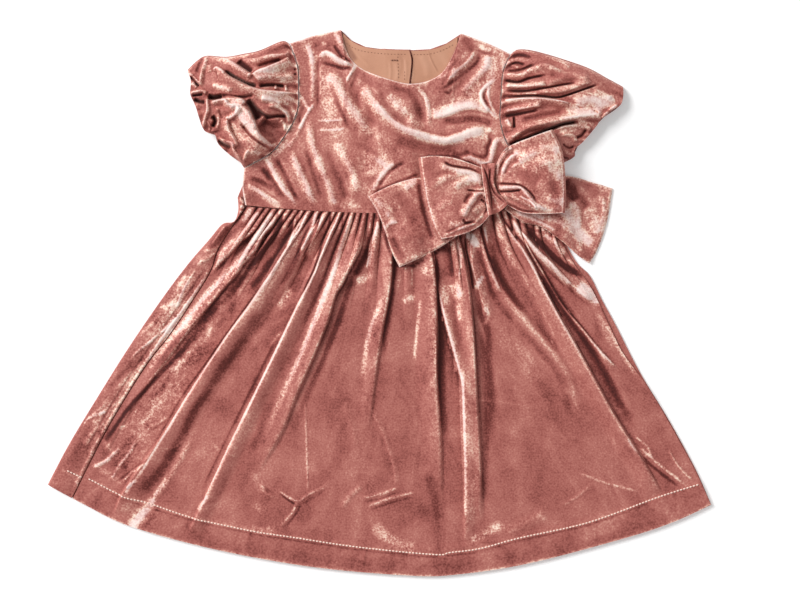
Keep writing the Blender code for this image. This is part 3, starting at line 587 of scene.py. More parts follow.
backSkirt = dict(
    name="skirt_back", flat=(0.60, 0.345), area=0.19, thick=1.5, bend=2.4, sag=1.6, lessSag=0.5,
    flatColumns=90, turnColumns=10, topColumns=34, rows=((0.1, 28), (0.9, 130), (1.0, 16)),
    grooves=34, grooveDeep=0.7, grooveReach=0.3, plain=0.03, freeSteep=6, freeEnd=1.12, deepest=-0.8,
    lift=0.08, crushedPale=0.2,
    creases=(
        ((210, 268, 201, 284, 183, 310, 162, 339, 143, 367, 110, 420, 87, 463, 72, 494), (2, 2.6),
         (0.5, 1.2, 1.6, 1.4, 0.8, 0.5, 0.5, 0.5), 0.9),
        ((204, 284, 186, 311, 166, 340, 147, 368, 131, 395, 114, 421, 91, 464, 77, 490), 1.3,
         (0.8, 1.2, 1.2, 0.9)),
        ((206, 268, 190, 292, 164, 328, 140, 362, 108, 412, 84, 456), 2, -0.6, -0.5),
        ((245, 200, 240, 213, 232, 221), 3, 0.8, 1.5), ((240, 199, 247, 203, 252, 206), 1.8, 0.9, 1.4),
        ((238, 202.5, 246, 205.5, 251, 207.5), 1.4, -1.3, -1.2),
        ((237, 206, 245, 207.5, 251, 209), 1.8, 0.8, 1.4),
        ((236, 210, 244, 210, 250, 210.5), 1.4, -1.3, -1.2),
        ((235, 213, 243, 212, 249, 211.5), 1.8, 0.7, 1.2), ((229, 218, 236, 216, 244, 214), 2, -0.9, -1),
        ((224, 224, 214, 232, 203, 246), (4, 5), 0.5, 1.2), ((226, 226, 219, 235, 213, 244), 1.8, 0.8, 0.8),
        ((206, 251, 214, 250, 224, 245), (2, 3), 0.7, 1),
        ((197, 264, 210, 258, 224, 248, 233, 240), (3, 4), 0.6, 1.3),
        ((230, 226, 219, 238, 210, 250), 7, -0.7),
        ((190, 276, 180, 296, 166, 318, 156, 332), (10, 9), 0.7, 0.4), ((186, 274, 178, 288), 3, 0.4, 0.3),
        ((169, 326, 162, 332, 150, 342, 140, 350, 132, 358), (1.8, 2.2), (1.4, 1.3, 0.8), 1),
        ((163, 313, 150, 326, 138, 338), 3, 0.5, 0.6), ((177, 317, 171, 326, 167, 334), 5, 1.2, 0.3),
        ((176, 306, 168, 304, 160, 308), (1.6, 2), 0.6, 0.4),
        ((196, 270, 184, 290, 176, 312), (1.6, 2), 0.6, 0.5),
        ((153, 353, 145, 372, 137, 384, 129, 394), 1.6, 1, 0.3),
        ((146, 356, 133, 365, 121, 377, 111, 389), 5, -0.6, -0.6),
        ((124, 356, 112, 376, 102, 394), 4, 0.3, 0.5),
        ((84, 425, 88, 419, 96, 415, 108, 411), (1.6, 2.2), (0.9, 1.3, 1.4, 1), 0.8),
        ((100, 414, 106, 411), 3, 0.7, 0.3), ((93, 419, 103, 423, 108, 431), (3, 2), 0.3, 0.4),
        ((106, 403, 98, 411, 92, 414), (1.8, 2), 0.6, 0.6),
        ((98, 440, 92, 450, 94, 460), (1.8, 2), 0.6, 0.6), ((104, 424, 92, 434, 84, 446), (3, 4), 0.4, 0.6),
        ((92, 424, 84, 440, 74, 458), 6, -0.3, -0.3), ((76, 480, 80, 486), 3, 0.6, 0.5),
        ((62, 470, 72, 474, 84, 478), 1.6, 0.7, 0.3),
    ),
    crushed=(
        ((216, 236, 204, 262, 184, 294, 160, 330, 136, 370, 110, 412, 84, 456), 16,
         (0, 0.4, 0.7, 0.8, 0.9, 0.9, 0.6)),
    ),
)


def makeBackSkirt():
    plan = backSkirt
    fold, seam = Edge(outline["leftFold"]), Edge(outline["leftSeam"])
    sheet = panel(Edge(outline["backWaist"]), Edge(outline["hem"]), fold, Edge(outline["rightEdge"]),
                  fade=2)
    v = steps(*plan["rows"])
    start, end = fold(v), seam(v)
    way = (end - start) / np.linalg.norm(end - start, axis=1)[:, None]
    bend, thick = plan["bend"], plan["thick"]
    outer, inner = [], []
    # the side on the floor, then the turn at the left, then the strip that comes round to the front
    for column in range(plan["flatColumns"] + 1):
        u = 1 - column / plan["flatColumns"]
        spot = sheet(np.full(len(v), u), v) if u > plan["plain"] else start + way * bend
        groove = plan["grooveDeep"] * (0.5 - 0.5 * math.cos(math.tau * plan["grooves"] * u))
        outer.append(stack(spot, groove * ease(1 - v / plan["grooveReach"]) * (plan["plain"] < u < 1)))
        inner.append(stack(spot, np.full(len(v), thick)))
    for step in range(1, plan["turnColumns"]):
        angle = math.pi * step / plan["turnColumns"]
        for side, radius in ((outer, bend), (inner, bend - thick)):
            side.append(stack(start + way * (bend - radius * math.sin(angle)),
                              np.full(len(v), bend - radius * math.cos(angle))))
    t = np.linspace(0, 1, plan["topColumns"] + 1)
    near, far = start + way * bend, end - way * 2 * wall["seam"]
    spots = near[:, None] * (1 - t)[:, None] + far[:, None] * t[:, None]
    low = wall["frontLow"] + (2 * bend - wall["frontLow"] - thick) * (1 - ease(t))
    low = low + plan["sag"] * np.sin(math.pi * t) * (1 - plan["lessSag"] * v)[:, None]
    high, pale = press(spots, plan["creases"])
    free = np.minimum(1, plan["freeSteep"] * np.minimum(t, plan["freeEnd"] - t))
    low = low + np.maximum(high, plan["deepest"]) * free
    outer = np.concatenate((np.stack(outer, 1), stack(spots, low + thick)), 1)
    inner = np.concatenate((np.stack(inner, 1), stack(spots, low)), 1)
    napAndLight, crushed = np.zeros(outer.shape[:2]), np.zeros(outer.shape[:2])
    crushed[:, -len(t):] = press(spots, plan["crushed"])[1]
    napAndLight[:, -len(t):] = pale + plan["lift"]
    napAndLight += plan["crushedPale"] * crushed
    return shell(plan["name"], outer, inner, napAndLight, rose, crushed=crushed)


dress(makeBackSkirt(), "back_skirt")

# ---- front of the skirt

# where the hem is sewn, from its left end to its right end
hemLine = (93.5, 480.5, 124, 496, 148.6, 502.7, 191, 517, 230, 526, 260, 532, 294, 537, 358, 546.6, 434,
           554, 450, 552, 480, 548, 519, 537.6, 588, 522, 657, 497, 698, 484)
frontSkirt = dict(
    name="skirt_front", flat=(0.60, 0.345), area=0.20, long=330,
    rows=((0.08, 16), (0.735, 92), (0.87, 43), (0.9, 5), (0.945, 13), (1.0, 9)),
    # columns: mm apart at the hem where it is creased and elsewhere, and where it is creased; the fewest to a
    # gather, and how they crowd at a fold's crest
    fine=1.0, coarse=1.6, creased=(-112, 36), fewest=8, crowd=1.3,
    # where the gathers start and end: at the waist, at the hem, bend; how high and how long they are
    # the small ones vary by so much, which turns from fold to fold and from gather to gather
    start=(-120.0, -276.0, 0.0), end=(169.2, 297.6, 0.0), leftGap=0.6, bendPeak=9.48,
    smallHigh=4.2, smallReach=0.1, smallVary=(0.25, 7.3, 2.9), foldReach=0.3, runOut=1.2, plump=0.75,
    # how the cloth is held down: at the waist, at the left seam, at the hem
    sewnIn=0.55, sewnReach=0.06, creaseReach=0.12, creaseStart=0.05, seamed=4.0,
    hemAt=0.91, hemWide=0.02, hemExtra=0.7, deepest=-1.0, least=0.9,
    # the nap and painted light: painted light on slopes and how it fades down the skirt, a painted highlight
    # along the hem, painted highlights on the gathers and painted shade where they are sewn in, and where the
    # pile is crushed
    steep=0.16, fade=0.7, fadeFrom=0.3, fadeWide=0.3, hemPale=0.8, hemGlint=1.2,
    gatherPale=1.5, gatherDark=1.1, gatherReach=0.07, crushedPale=0.17, darkest=-1.6, palest=2.0,
    folds=(
        # crest at the waist, at the hem, bend half way, height at the waist, small gathers after it
        (-106, -271, 0, 4.5, 1), (-94, -264, 0, 5.5, 1), (-81, -253, 0, 5.5, 2), (-63, -241, 0, 6.5, 1),
        (-47, -211, 0, 6.0, 1), (-35, -176, 0, 6.5, 1), (-24, -133, 0, 6.5, 1), (-13, -81, 0, 5.5, 1),
        (-1, -27, 0, 5.5, 3), (27, 23, 0, 5.0, 4), (62, 85, 8, 6.0, 3), (90, 192, -20, 5.5, 1),
        (105, 249, 0, 6.5, 1), (119, 268, 0, 6.0, 2), (140, 284, 0, 5.0, 2), (159, 293, 0, 4.5, 1)),
    creases=(
        # from the waist down, from left to right
        ((267, 210, 256, 228, 241, 241, 223, 260, 209, 273, 203, 284), (13, 3), (0.3, 0.2), (4.5, 5, 2.5)),
        ((276, 209, 274, 221, 264, 234, 256, 249, 244, 263, 235, 275, 216, 297, 190, 328, 175, 348, 150,
         381, 126, 417, 104, 456, 92, 480), (12, 3), (0.4, 0.4, 0.2, -0.1, -0.2),
         (5, 6.5, 6, 4.2, 2.6, 1, 0)),
        ((281, 216, 277, 232, 266, 246, 258, 257, 246, 272), 5, -0.9, -2.5),
        ((279.5, 209, 280, 216), 1.5, 0.4, 2), ((284, 209, 284.5, 221), 1.8, 0.4, 2.5),
        ((292, 210, 287, 221, 280, 230, 270, 239, 263, 248, 252, 260, 242, 272, 226, 292, 212, 309),
         (4, 10), (0.3, 0.2), (5, 4.5, 2.5, 0.5)),
        ((297.5, 209, 295, 225, 292, 237, 287, 247), 2, 0.5, 2.6),
        ((302, 209, 299, 225, 290, 244), 2.2, 0.3, 2.8),
        ((309, 209, 303, 226, 292, 243, 282, 258, 274, 271, 264, 286, 250, 307, 230, 334, 208, 367, 187,
         400, 156, 446, 126, 489, 116, 512), (2.6, 23), (0.2, 0.1), (5.5, 6.5, 6.5, 6, 5, 3.5)),
        ((317, 209, 315, 224, 308, 238, 301, 252), (4, 2.5), (0.7, 0.9), (5, 5.5, 1)),
        ((324, 209, 321, 223, 314, 240, 306, 256), (2.5, 9), (0.4, 0.2), (5, 5, 0.5)),
        ((334, 210, 331, 222), 2, 0.4, 3),
        ((341, 210, 338, 221, 332, 233, 326, 247, 321, 259, 316, 272, 309, 286, 297, 309, 282, 340, 253,
         400, 226, 456, 199, 512, 190, 530), (2.6, 16), (0.2, 0.1), (5, 6.5, 6.5, 5, 4, 3)),
        ((366, 210, 364, 229, 362, 240, 358, 251, 352, 263, 345, 277, 341, 285, 335, 295, 327, 321, 313,
         356, 298, 390, 283, 428, 259, 470), (20, 3), (0.2, 0.1), (5, 7, 8, 6.5, 4.5, 1.5)),
        ((371, 210, 370, 231), 2, 0.3, 2.5),
        ((380, 214, 377, 228, 371, 244, 369, 257, 367, 271), (2.6, 12), (0.5, 0.3), (4, 3.5, 0.5)),
        ((386, 216, 391, 240, 391, 262, 389, 290, 381, 332, 374, 380, 368, 430), (16, 3.5), 0.1,
         (3.5, 6, 5, 3, 0.5)),
        ((424, 238, 431, 255, 435, 286, 436, 330, 436, 379, 440, 440, 441, 500), (22, 2.6), 0.1,
         (3, 6.5, 6, 4.5, 0.5)),
        ((436, 277, 443, 311, 450, 337, 457, 362, 462, 384, 463, 415, 465, 470, 465, 540), (2.4, 13),
         (0.2, 0.3), (1, 5, 5.5, 4.5, 3)),
        ((456, 232, 461, 250, 467, 280, 471, 315, 474, 358, 476, 400, 479, 450, 481, 520), (17, 2.8), 0.1,
         (5, 7, 7, 5.5, 3)),
        ((446, 246, 450, 262, 447, 277), (7, 8), -0.5, -2),
        ((466, 232, 468, 250, 474, 273, 481, 296, 485, 318), (2, 12), (0.5, 0.25), (4.5, 4.5, 3.5, 1.2)),
        ((478, 228, 482, 244, 486, 256, 492, 273, 500, 292), (8, 1.8), (0.1, 0.2), (2, 3, 3, 1.5)),
        ((510, 219, 522, 234, 535, 248, 547, 260, 560, 273, 572, 286), (7, 1.7), (0.3, 0.5, 0.4),
         (2.5, 3.5, 3.5, 2)),
        ((482, 226, 487, 250, 500, 284, 523, 318, 545, 345, 563, 368, 576, 400), (16, 8), 0,
         (4, 4, 3, 2.2, 0.7)),
        ((495, 214, 511, 234, 530, 263, 541, 285, 555, 311, 574, 344, 589, 371, 612, 413, 640, 458, 660,
         492), (19, 2.6), 0.1, (5, 7.5, 7.5, 6, 3.5)),
        ((512, 215, 533, 249, 552, 268, 571, 284, 592, 301), (6, 12), (0.1, 0.2), (5, 5, 3.5)),
        ((519, 234, 533, 257, 545, 277, 562, 305, 581, 328, 600, 351, 616, 367), (10, 1.8), (0.1, 0.4),
         (4, 4, 2.5)),
        ((540, 224, 552, 240, 566, 256), 6, 0.5, 2.5),
        ((526, 229, 543, 248, 562, 265, 578, 275), 5, -0.9, -2.5),
        ((372, 238, 362, 258, 354, 274), (6, 8), 0.2, -2),
        ((541, 272, 560, 303, 580, 335, 604, 378, 626, 420), (7, 9), -0.5, -2),
        ((311, 258, 303, 274, 292, 292), (6, 8), -0.2, -1.2),
        # small creases lower down
        ((278, 489, 287, 496, 295, 500, 301, 500, 309, 494, 328, 485), (1.7, 1.9), 1, 0.8),
        ((281, 494, 289, 500, 296, 504), (1.8, 1.6), -0.9, -0.4),
        ((303, 503.5, 312, 498, 326, 490), 1.7, -0.4, -0.3),
        ((297, 502, 292, 513, 280, 526), (1.7, 1.9), 0.9, 0.8),
        ((301, 504, 296, 514, 286, 526), 1.7, -0.7, -0.4), ((262, 483, 265, 492, 275, 497), 3, 0.35, 0.8),
        ((266, 488, 270, 493), 3, -0.4, -0.6), ((362, 497.5, 380, 494, 398, 487), (1.7, 1.9), 0.8, 0.7),
        ((364, 501.5, 382, 498, 398, 491), 1.7, -0.5, -0.3),
        ((368, 506, 392, 497.5, 415, 492), (1.7, 1.9), 1, 0.7),
        ((370, 509.5, 393, 502, 412, 497), 1.7, -0.5, -0.3),
        ((342, 508, 350, 496, 362, 485), (4, 5), 0.25, 0.7),
        ((305, 402, 306.5, 440, 308, 494), (1.4, 1.6), (0.4, 0.5, 0.3), 0.5),
        ((366, 400, 380, 427, 388, 448, 394, 468, 396, 484), (1.6, 5), (0.2, 0.4, 0.4), 0.6),
        ((344, 400, 352, 424, 356, 446), 5, 0.1, 0.4),
        ((640, 447, 656, 462, 684, 484), (2.2, 2.6), 0.8, 1.1),
        ((637, 451, 652, 466, 678, 486), (2.6, 2.4), -0.9, -0.9),
        ((668, 450, 678, 466, 692, 480), (1.6, 2), 0.6, 0.9),
        ((634, 436, 646, 446, 652, 458), (2, 2.4), 0.6, 0.8),
        ((580, 473, 606, 483, 638, 491), (1.6, 2), 0.6, 0.8), ((506, 532, 524, 524, 546, 512), 8, 0.2, 0.8),
        ((562, 505, 576, 497, 592, 484), (1.6, 2.4), 0.35, 0.5),
        ((247, 541, 250, 535, 252, 524), 1.5, -0.5, 0.5), ((366, 549, 363, 566), 1.5, -0.5, 0.6),
        ((210, 440, 222, 452, 240, 456), (2, 4), 0.15, 0.4),
        ((121, 447, 112, 455.5, 104, 462, 93, 466), (2.4, 3.4), (0.9, 1.5, 1.5), 1.1),
        ((137, 439, 130, 452, 120, 465, 112, 479), (2, 3), (0.7, 1.1, 0.8), 0.9),
        ((168, 417, 157, 424, 146, 430), (1.8, 2.2), 0.3, 0.5),
        ((149, 459, 137, 467, 127, 475, 116, 482), 2, -0.7, -0.8),
        ((147, 462, 133, 471, 124, 480), (2, 2.4), 0.9, 0.7),
        ((127, 488, 132, 483, 139, 480), (2, 2.4), 1, 0.8),
        ((192, 440, 182, 455, 170, 477, 160, 490, 150, 503), (3, 5), (0.3, 0.5, 0.9, 0.6), 0.7),
        ((166, 448, 175, 447, 184, 440), 1.6, 0.5, 0.4),
        ((470, 400, 500, 402, 536, 408), (1.8, 3), 0.12, 0.4),
        # the hem is sewn down
        (hemLine, (1.4, 2.2), 0.5, -0.5),
        ((93.5, 483, 124, 498.5, 191, 519.5, 260, 534.5, 294, 539.5, 358, 549, 434, 556.5, 450, 554.5, 480,
         550.5, 519, 540, 588, 524.5, 657, 499.5, 698, 486.5), (1.4, 1.6), -0.6),
    ),
    crushed=(
        # where the pile is crushed, and where it lies smooth
        ((262, 250, 240, 280, 218, 310, 192, 350, 164, 394, 140, 432, 118, 470), 24,
         (0.3, 0.6, 0.8, 1, 1, 1, 0.8)),
        ((128, 500, 142, 514, 160, 520), 16, 0.6), ((200, 410, 176, 450, 150, 492), 14, 0.3),
        ((292, 243, 264, 286, 230, 334, 187, 400, 126, 489), (1.6, 13), -1),
        ((332, 233, 316, 272, 282, 340, 226, 456, 199, 512), (1.6, 13), -1),
        ((511, 234, 530, 263, 574, 344, 612, 413, 645, 466), (14, 2), -1),
        ((487, 250, 500, 284, 523, 318, 545, 345, 563, 368, 576, 400), (8, 10), -1),
    ),
    streaks=(
        # nap and painted light alone, with no height: mostly painted sheen along the folds and painted shade
        # beside them
        ((260, 211, 247, 226, 236, 239, 223, 250, 207, 264), (3.5, 4), (0.7, 0.8, 0.5)),
        ((250, 208, 247, 216, 243, 224), 4, 0.9), ((272, 256, 262, 273, 250, 288), 6, -0.9),
        ((262, 224, 254, 234, 245, 244), 3, -0.8),
        ((273, 211, 268, 224, 258, 236, 247, 250, 236, 264, 222, 279, 204, 298, 185, 322, 165, 346, 146,
         374), (6, 5), (0.9, 1.2, 1.1, 0.9, 1, 1.3, 1.3, 1.1, 0.6)),
        ((203, 317, 192, 328, 182, 340, 170, 357, 158, 371, 147, 383), 1.4, 0.9),
        ((193, 318, 186, 328, 180, 332), 6, 0.6), ((184, 336, 172, 348, 160, 364), (6, 5), -0.5),
        ((242, 274, 226, 292, 212, 311, 197, 333, 186, 347, 176, 359), 7, (-0.8, -1.1, -1.3, -1)),
        ((197, 333, 185, 348, 173, 361, 161.5, 373, 148.5, 387, 136, 400, 125.5, 413, 115, 428, 106, 441),
         3.4, (-0.8, -1.2, -1.5, -1.5, -1.2)),
        # between the first two folds
        ((224, 310, 208, 331, 190, 356, 174, 380, 158, 404, 140, 432), 15, (-0.2, -0.3, 0.2, -0.1, 0, 0)),
        ((236, 300, 216, 332), 6, -0.4), ((205, 322, 210, 327, 209, 334, 204, 339), 3, 0.5),
        ((191, 349, 187, 355, 182, 356), 3, 0.45), ((187, 360, 180, 362, 176, 368, 171, 372), 2.4, 0.6),
        ((199, 351, 193, 362, 186, 369), 3, 0.3), ((160, 391, 156, 400, 153, 403, 157, 409), 2.6, 0.55),
        ((148, 399, 156, 400), 2, 0.35), ((153, 413, 147, 418, 141, 425), 2.6, 0.6),
        ((142, 415, 151, 422), 2, 0.5), ((130, 421, 126, 426, 120, 428), 2.4, 0.6),
        ((103, 440, 108, 445, 111, 451), 3, 0.5), ((112, 441, 105, 448), 2, 0.4),
        ((176, 380, 182, 392, 180, 402), 3, 0.3), ((168, 384, 164, 396), 1.8, 0.5),
        ((138, 408, 134, 416), 1.8, 0.6), ((168, 420, 157, 427, 147, 433), 2, -0.5),
        ((133, 458, 124, 470), 3, -0.4),
        ((282, 214, 279, 228, 268, 245, 259, 258, 247, 273, 236, 288, 222, 306), (4, 5),
         (-1.2, -1.7, -1.4, -0.6)),
        ((292, 219, 291, 231, 285, 242, 275, 257, 264, 273, 250, 294), (5, 4), (-1.2, -1.5, -1, -0.3)),
        ((308, 211, 302, 225, 291, 242, 281, 257, 273, 270, 263, 285, 249, 306, 229, 333, 207, 366, 186,
         399, 154, 453, 129, 489), (1.4, 1.6), (0.9, 1.3, 1.5, 1.8, 1.9, 1.4)),
        ((262, 285, 231, 328, 207, 362, 184, 394, 166, 425, 150, 456), 1.6, (-0.8, -0.8, -0.5)),
        ((306, 222, 296, 244, 284, 262, 270, 284, 254, 310), 7, 0.35),
        ((311, 222, 301, 246, 298, 256, 292, 268, 281, 286), (3, 4), (-0.8, -1.3, -0.6)),
        ((262, 310, 247, 333, 235, 350, 222, 368, 209, 389, 195, 410, 185, 431, 171, 454, 156, 476, 140,
         492), (7, 8), (-0.3, -0.6, -0.9, -1, -1.1, -0.9, -0.4)),
        ((319, 212, 318.5, 225, 313, 240, 303, 257), (1.6, 2), -1.8),
        ((316, 212, 313, 226, 306, 240), 2, 0.9), ((323, 212, 320, 224, 313, 241, 306, 256), (1.8, 2), 1),
        ((331, 214, 329, 226, 323, 241, 318, 258, 311, 277, 303, 293), 2, (-1.6, -1.6, -0.8)),
        ((340, 212, 337, 221, 331, 233, 325, 247, 320, 259, 315, 272, 308, 286, 296, 309, 281, 340, 252,
         400, 228, 449, 201, 509), (1.4, 1.6), (0.9, 1.2, 1.5, 1.8, 1.9, 1.5)),
        ((277, 338, 248, 396, 222, 448, 203, 488), (2, 2.6), -0.9),
        ((272, 400, 262, 424, 252, 452), 6, -0.4), ((343, 214, 342, 228), 1.2, -0.9),
        ((337, 240, 328, 262, 320, 284), (4, 5), 0.4),
        ((348, 220, 342, 234, 336, 247, 331, 260, 325, 278, 314, 302, 300, 332), 4, (-1, -1.5, -1, -0.3)),
        ((351, 213, 348, 229, 342, 246, 337, 262, 332, 276, 322, 302, 312, 327, 302, 352, 289, 380, 277,
         407, 267, 430), (4, 5), (1, 1.2, 1.5, 1.4, 1, 0.4)),
        ((361, 213, 359, 228, 356, 240), (1.6, 1.8), -0.8),
        ((371, 232, 368, 247, 361, 263, 354, 277, 347, 292, 338, 321, 324, 357, 308, 393, 292, 432), (4, 6),
         (-1.2, -1.5, -1.2, -0.9, -0.3)),
        ((352, 276, 360, 280, 366, 277, 371, 272), 6, 1), ((357, 262, 361, 250, 366, 242), 4, 0.4),
        ((379, 217, 377, 228, 371, 244, 369, 257, 367, 271), (2.2, 3), 1),
        ((383, 297, 375, 315, 369, 333, 365, 352, 362, 380), (3, 5), (0.6, 1.2, 1, 0.4)),
        ((378, 340, 382, 346, 379, 356), (3, 4), 0.4),
        ((394, 256, 392, 285, 386, 325, 381, 360), (2, 6), (-1, -1.1, -0.3)),
        ((412, 268, 412, 287), (1.5, 2), 1.1), ((403, 302, 409, 298, 415, 299), 5, 1),
        ((424, 266, 425, 276), 4, 0.8), ((420, 300, 418, 318, 415, 345, 414, 360), (2, 3), 0.9),
        ((395, 290, 400, 276, 408, 262), (5, 6), 0.3), ((436, 258, 437, 290, 438, 312), (1.6, 3), -1.9),
        ((439, 312, 440, 340, 441, 390, 445, 440), (4, 7), (-1.3, -1.1, -0.5)),
        ((436, 278, 443, 311, 450, 337, 457, 362, 462, 384), (1.5, 1.8), (0.8, 1.1, 1)),
        ((462, 370, 463, 400, 464, 430, 465, 470, 465, 520), (1.8, 2.4), (0.9, 1.4, 1, 0.5)),
        ((456, 238, 460, 255, 460, 268, 458, 278), (1.8, 2.2), 1.1),
        ((452, 283, 456, 292, 462, 297), 9, 1.2), ((457, 303, 459, 322), (3, 4), 0.9),
        ((438, 281, 444, 292, 449, 305), 6, 0.8), ((465, 238, 470, 270, 473, 290), (1.5, 2.5), -1.7),
        ((475, 288, 480, 315, 487, 330, 489, 358, 491, 385, 492, 430), (4, 6), (-0.7, -0.8, -0.5)),
        ((466, 231, 472, 239, 478, 248), 6, 2), ((484, 275, 479, 281, 475, 289), (2.6, 3.4), 1.7),
        ((484, 305, 488, 316, 483, 325), (2.5, 3), 0.9),
        ((481, 228, 485, 246, 490, 262), (2, 2.4), (-0.7, -1.3, -1.3)),
        ((489, 256, 498, 278, 509, 297, 522, 312), (2.4, 7), (-1.2, -1.4, -1.2, -0.6)),
        ((482, 224, 487, 234, 492, 246), 4, 1), ((478, 262, 483, 275, 487, 290), (5, 4), 0.7),
        ((484, 229, 487.5, 244), 1.5, 1.4),
        ((503, 218, 511, 232, 522, 243, 531, 259, 541, 274), (1.4, 2.2), (-0.9, -1.4, -1.2, -0.6)),
        ((562, 242, 570, 250, 584, 262), (2, 3), -1.5), ((504, 249, 510, 258, 514, 266), 2.4, 0.7),
        ((489, 262, 502, 294, 524, 321, 544, 344, 562, 367, 572, 391, 576, 415), (3, 5),
         (0.2, 0.45, 0.4, 0.4)),
        ((482, 268, 496, 300, 516, 324, 536, 346, 553, 368, 564, 392, 570, 420), 5,
         (-0.5, -0.5, -0.5, -0.3)),
        ((496, 330, 520, 352, 540, 380), (14, 12), 0.2),
        ((480, 330, 486, 380, 486, 440, 483, 500), (5, 6), (-0.7, -0.6, -0.5)),
        ((496, 216, 511, 235, 530, 264, 541, 286, 555, 312, 574, 345, 612, 414, 645, 466), (2, 1.4),
         (0.8, 0.6, 0.6)),
        ((537, 270, 553, 294, 568, 317, 583, 338, 599, 363, 616, 396, 632, 424), (5, 7),
         (-1.4, -1.2, -0.8, -0.5)),
        ((515, 224, 524, 236, 534, 250), (2, 2.5), 0.6),
        ((528, 231, 545, 249, 564, 266, 584, 277), (3, 5), (-1.4, -1.3, -0.6)),
        ((540, 232, 550, 240), 4, 0.9), ((566, 258, 572, 263, 577, 266), (2, 3), 0.9),
        ((577, 285, 588, 292, 600, 303), 11, (1.4, 2.2, 1.6)),
        ((606, 322, 617, 344, 628, 363, 636, 376), 4, 0.9), ((626, 438, 635, 449, 646, 458), 5, 0.6),
        # a painted shadow beside the left tail's left edge, then a pale streak
        ((375, 214, 383, 231, 390, 252, 397, 268), 3, -1.1), ((256, 211, 252, 218, 246, 226), 4, 0.8),
        ((590, 286, 596, 294, 600, 302), 4, 0.4), ((596, 312, 606, 332, 614, 350), 6, 0.4),
        ((519, 235, 533, 258, 545, 278, 562, 306, 581, 329, 600, 352, 616, 367), (1.5, 1.2),
         (0.4, 0.8, 0.9)),
        ((600, 306, 612, 330, 624, 354), (1.5, 2), -0.8),
        # the left part is crushed into pale places
        ((290, 288, 286, 298, 278, 308), (6, 7), 0.9), ((283, 330, 277, 337, 270, 345), (1.5, 2), 0.9),
        ((98, 468, 110, 474, 124, 484), 4, 0.5),
        ((155, 497, 149, 507, 140, 517, 131, 527), 8, (0.7, 1.7, 1.8)),
        ((134, 482, 129, 488, 126, 494), (2.4, 3), 1.1), ((209, 494, 203, 502, 198, 510), (2, 3), 1.1),
        ((168, 474, 160, 486, 154, 496), (2, 3), 0.8), ((254, 502, 262, 510, 268, 506), 7, 0.45),
        ((250, 528, 264, 530, 276, 528), (7, 6), 0.6),
        ((372, 524, 384, 534, 400, 544, 416, 548), 9, (0.5, 0.8, 0.5)),
        ((246, 470, 258, 480, 262, 492), 6, 0.3), ((356, 446, 366, 470, 380, 500), (14, 12), 0.15),
        ((470, 540, 484, 534, 504, 522), 7, 0.8), ((426, 470, 436, 500, 440, 520), 8, -0.45),
        ((470, 520, 474, 490, 478, 460), 6, 0.3), ((395, 430, 400, 470, 440, 520), 34, -0.25),
        ((500, 400, 540, 440, 570, 480), 40, -0.1),
        ((140, 530, 300, 556, 420, 566, 560, 550, 680, 518), 9, -0.2),
        # painted shadows under the bottom edges of the left tail and of the right tail
        ((384, 264, 410, 266, 424, 260, 438, 251, 452, 241, 470, 233, 486, 220), 2,
         (-1.2, -1.2, -1.2, -0.8, -0.3)),
        ((505, 213, 517, 222, 530, 229, 546, 234, 558, 240), 2, -1),
    ),
)


def gatherRows():
    # every gather from left to right, with small ones between the folds
    # a gather is: where it is at the waist and at the hem, its bend, its height, how far down it reaches
    plan = frontSkirt
    stops = [plan["start"]] + [fold[:3] for fold in plan["folds"]] + [plan["end"]]
    counts = [1] + [fold[4] for fold in plan["folds"]]
    most, byFold, byGather = plan["smallVary"]
    rows = []
    for index, (here, there, count) in enumerate(zip(stops, stops[1:], counts)):
        for small in range(count):
            t = (small + 1) / (count + 1)
            vary = 1 + wave(most, 1, byFold * index + byGather * small)
            rows.append([a + (b - a) * t for a, b in zip(here, there)]
                        + [plan["smallHigh"] * vary, plan["smallReach"] * vary])
        if index < len(plan["folds"]):
            rows.append([*plan["folds"][index][:4], plan["foldReach"]])
    return np.array(rows)


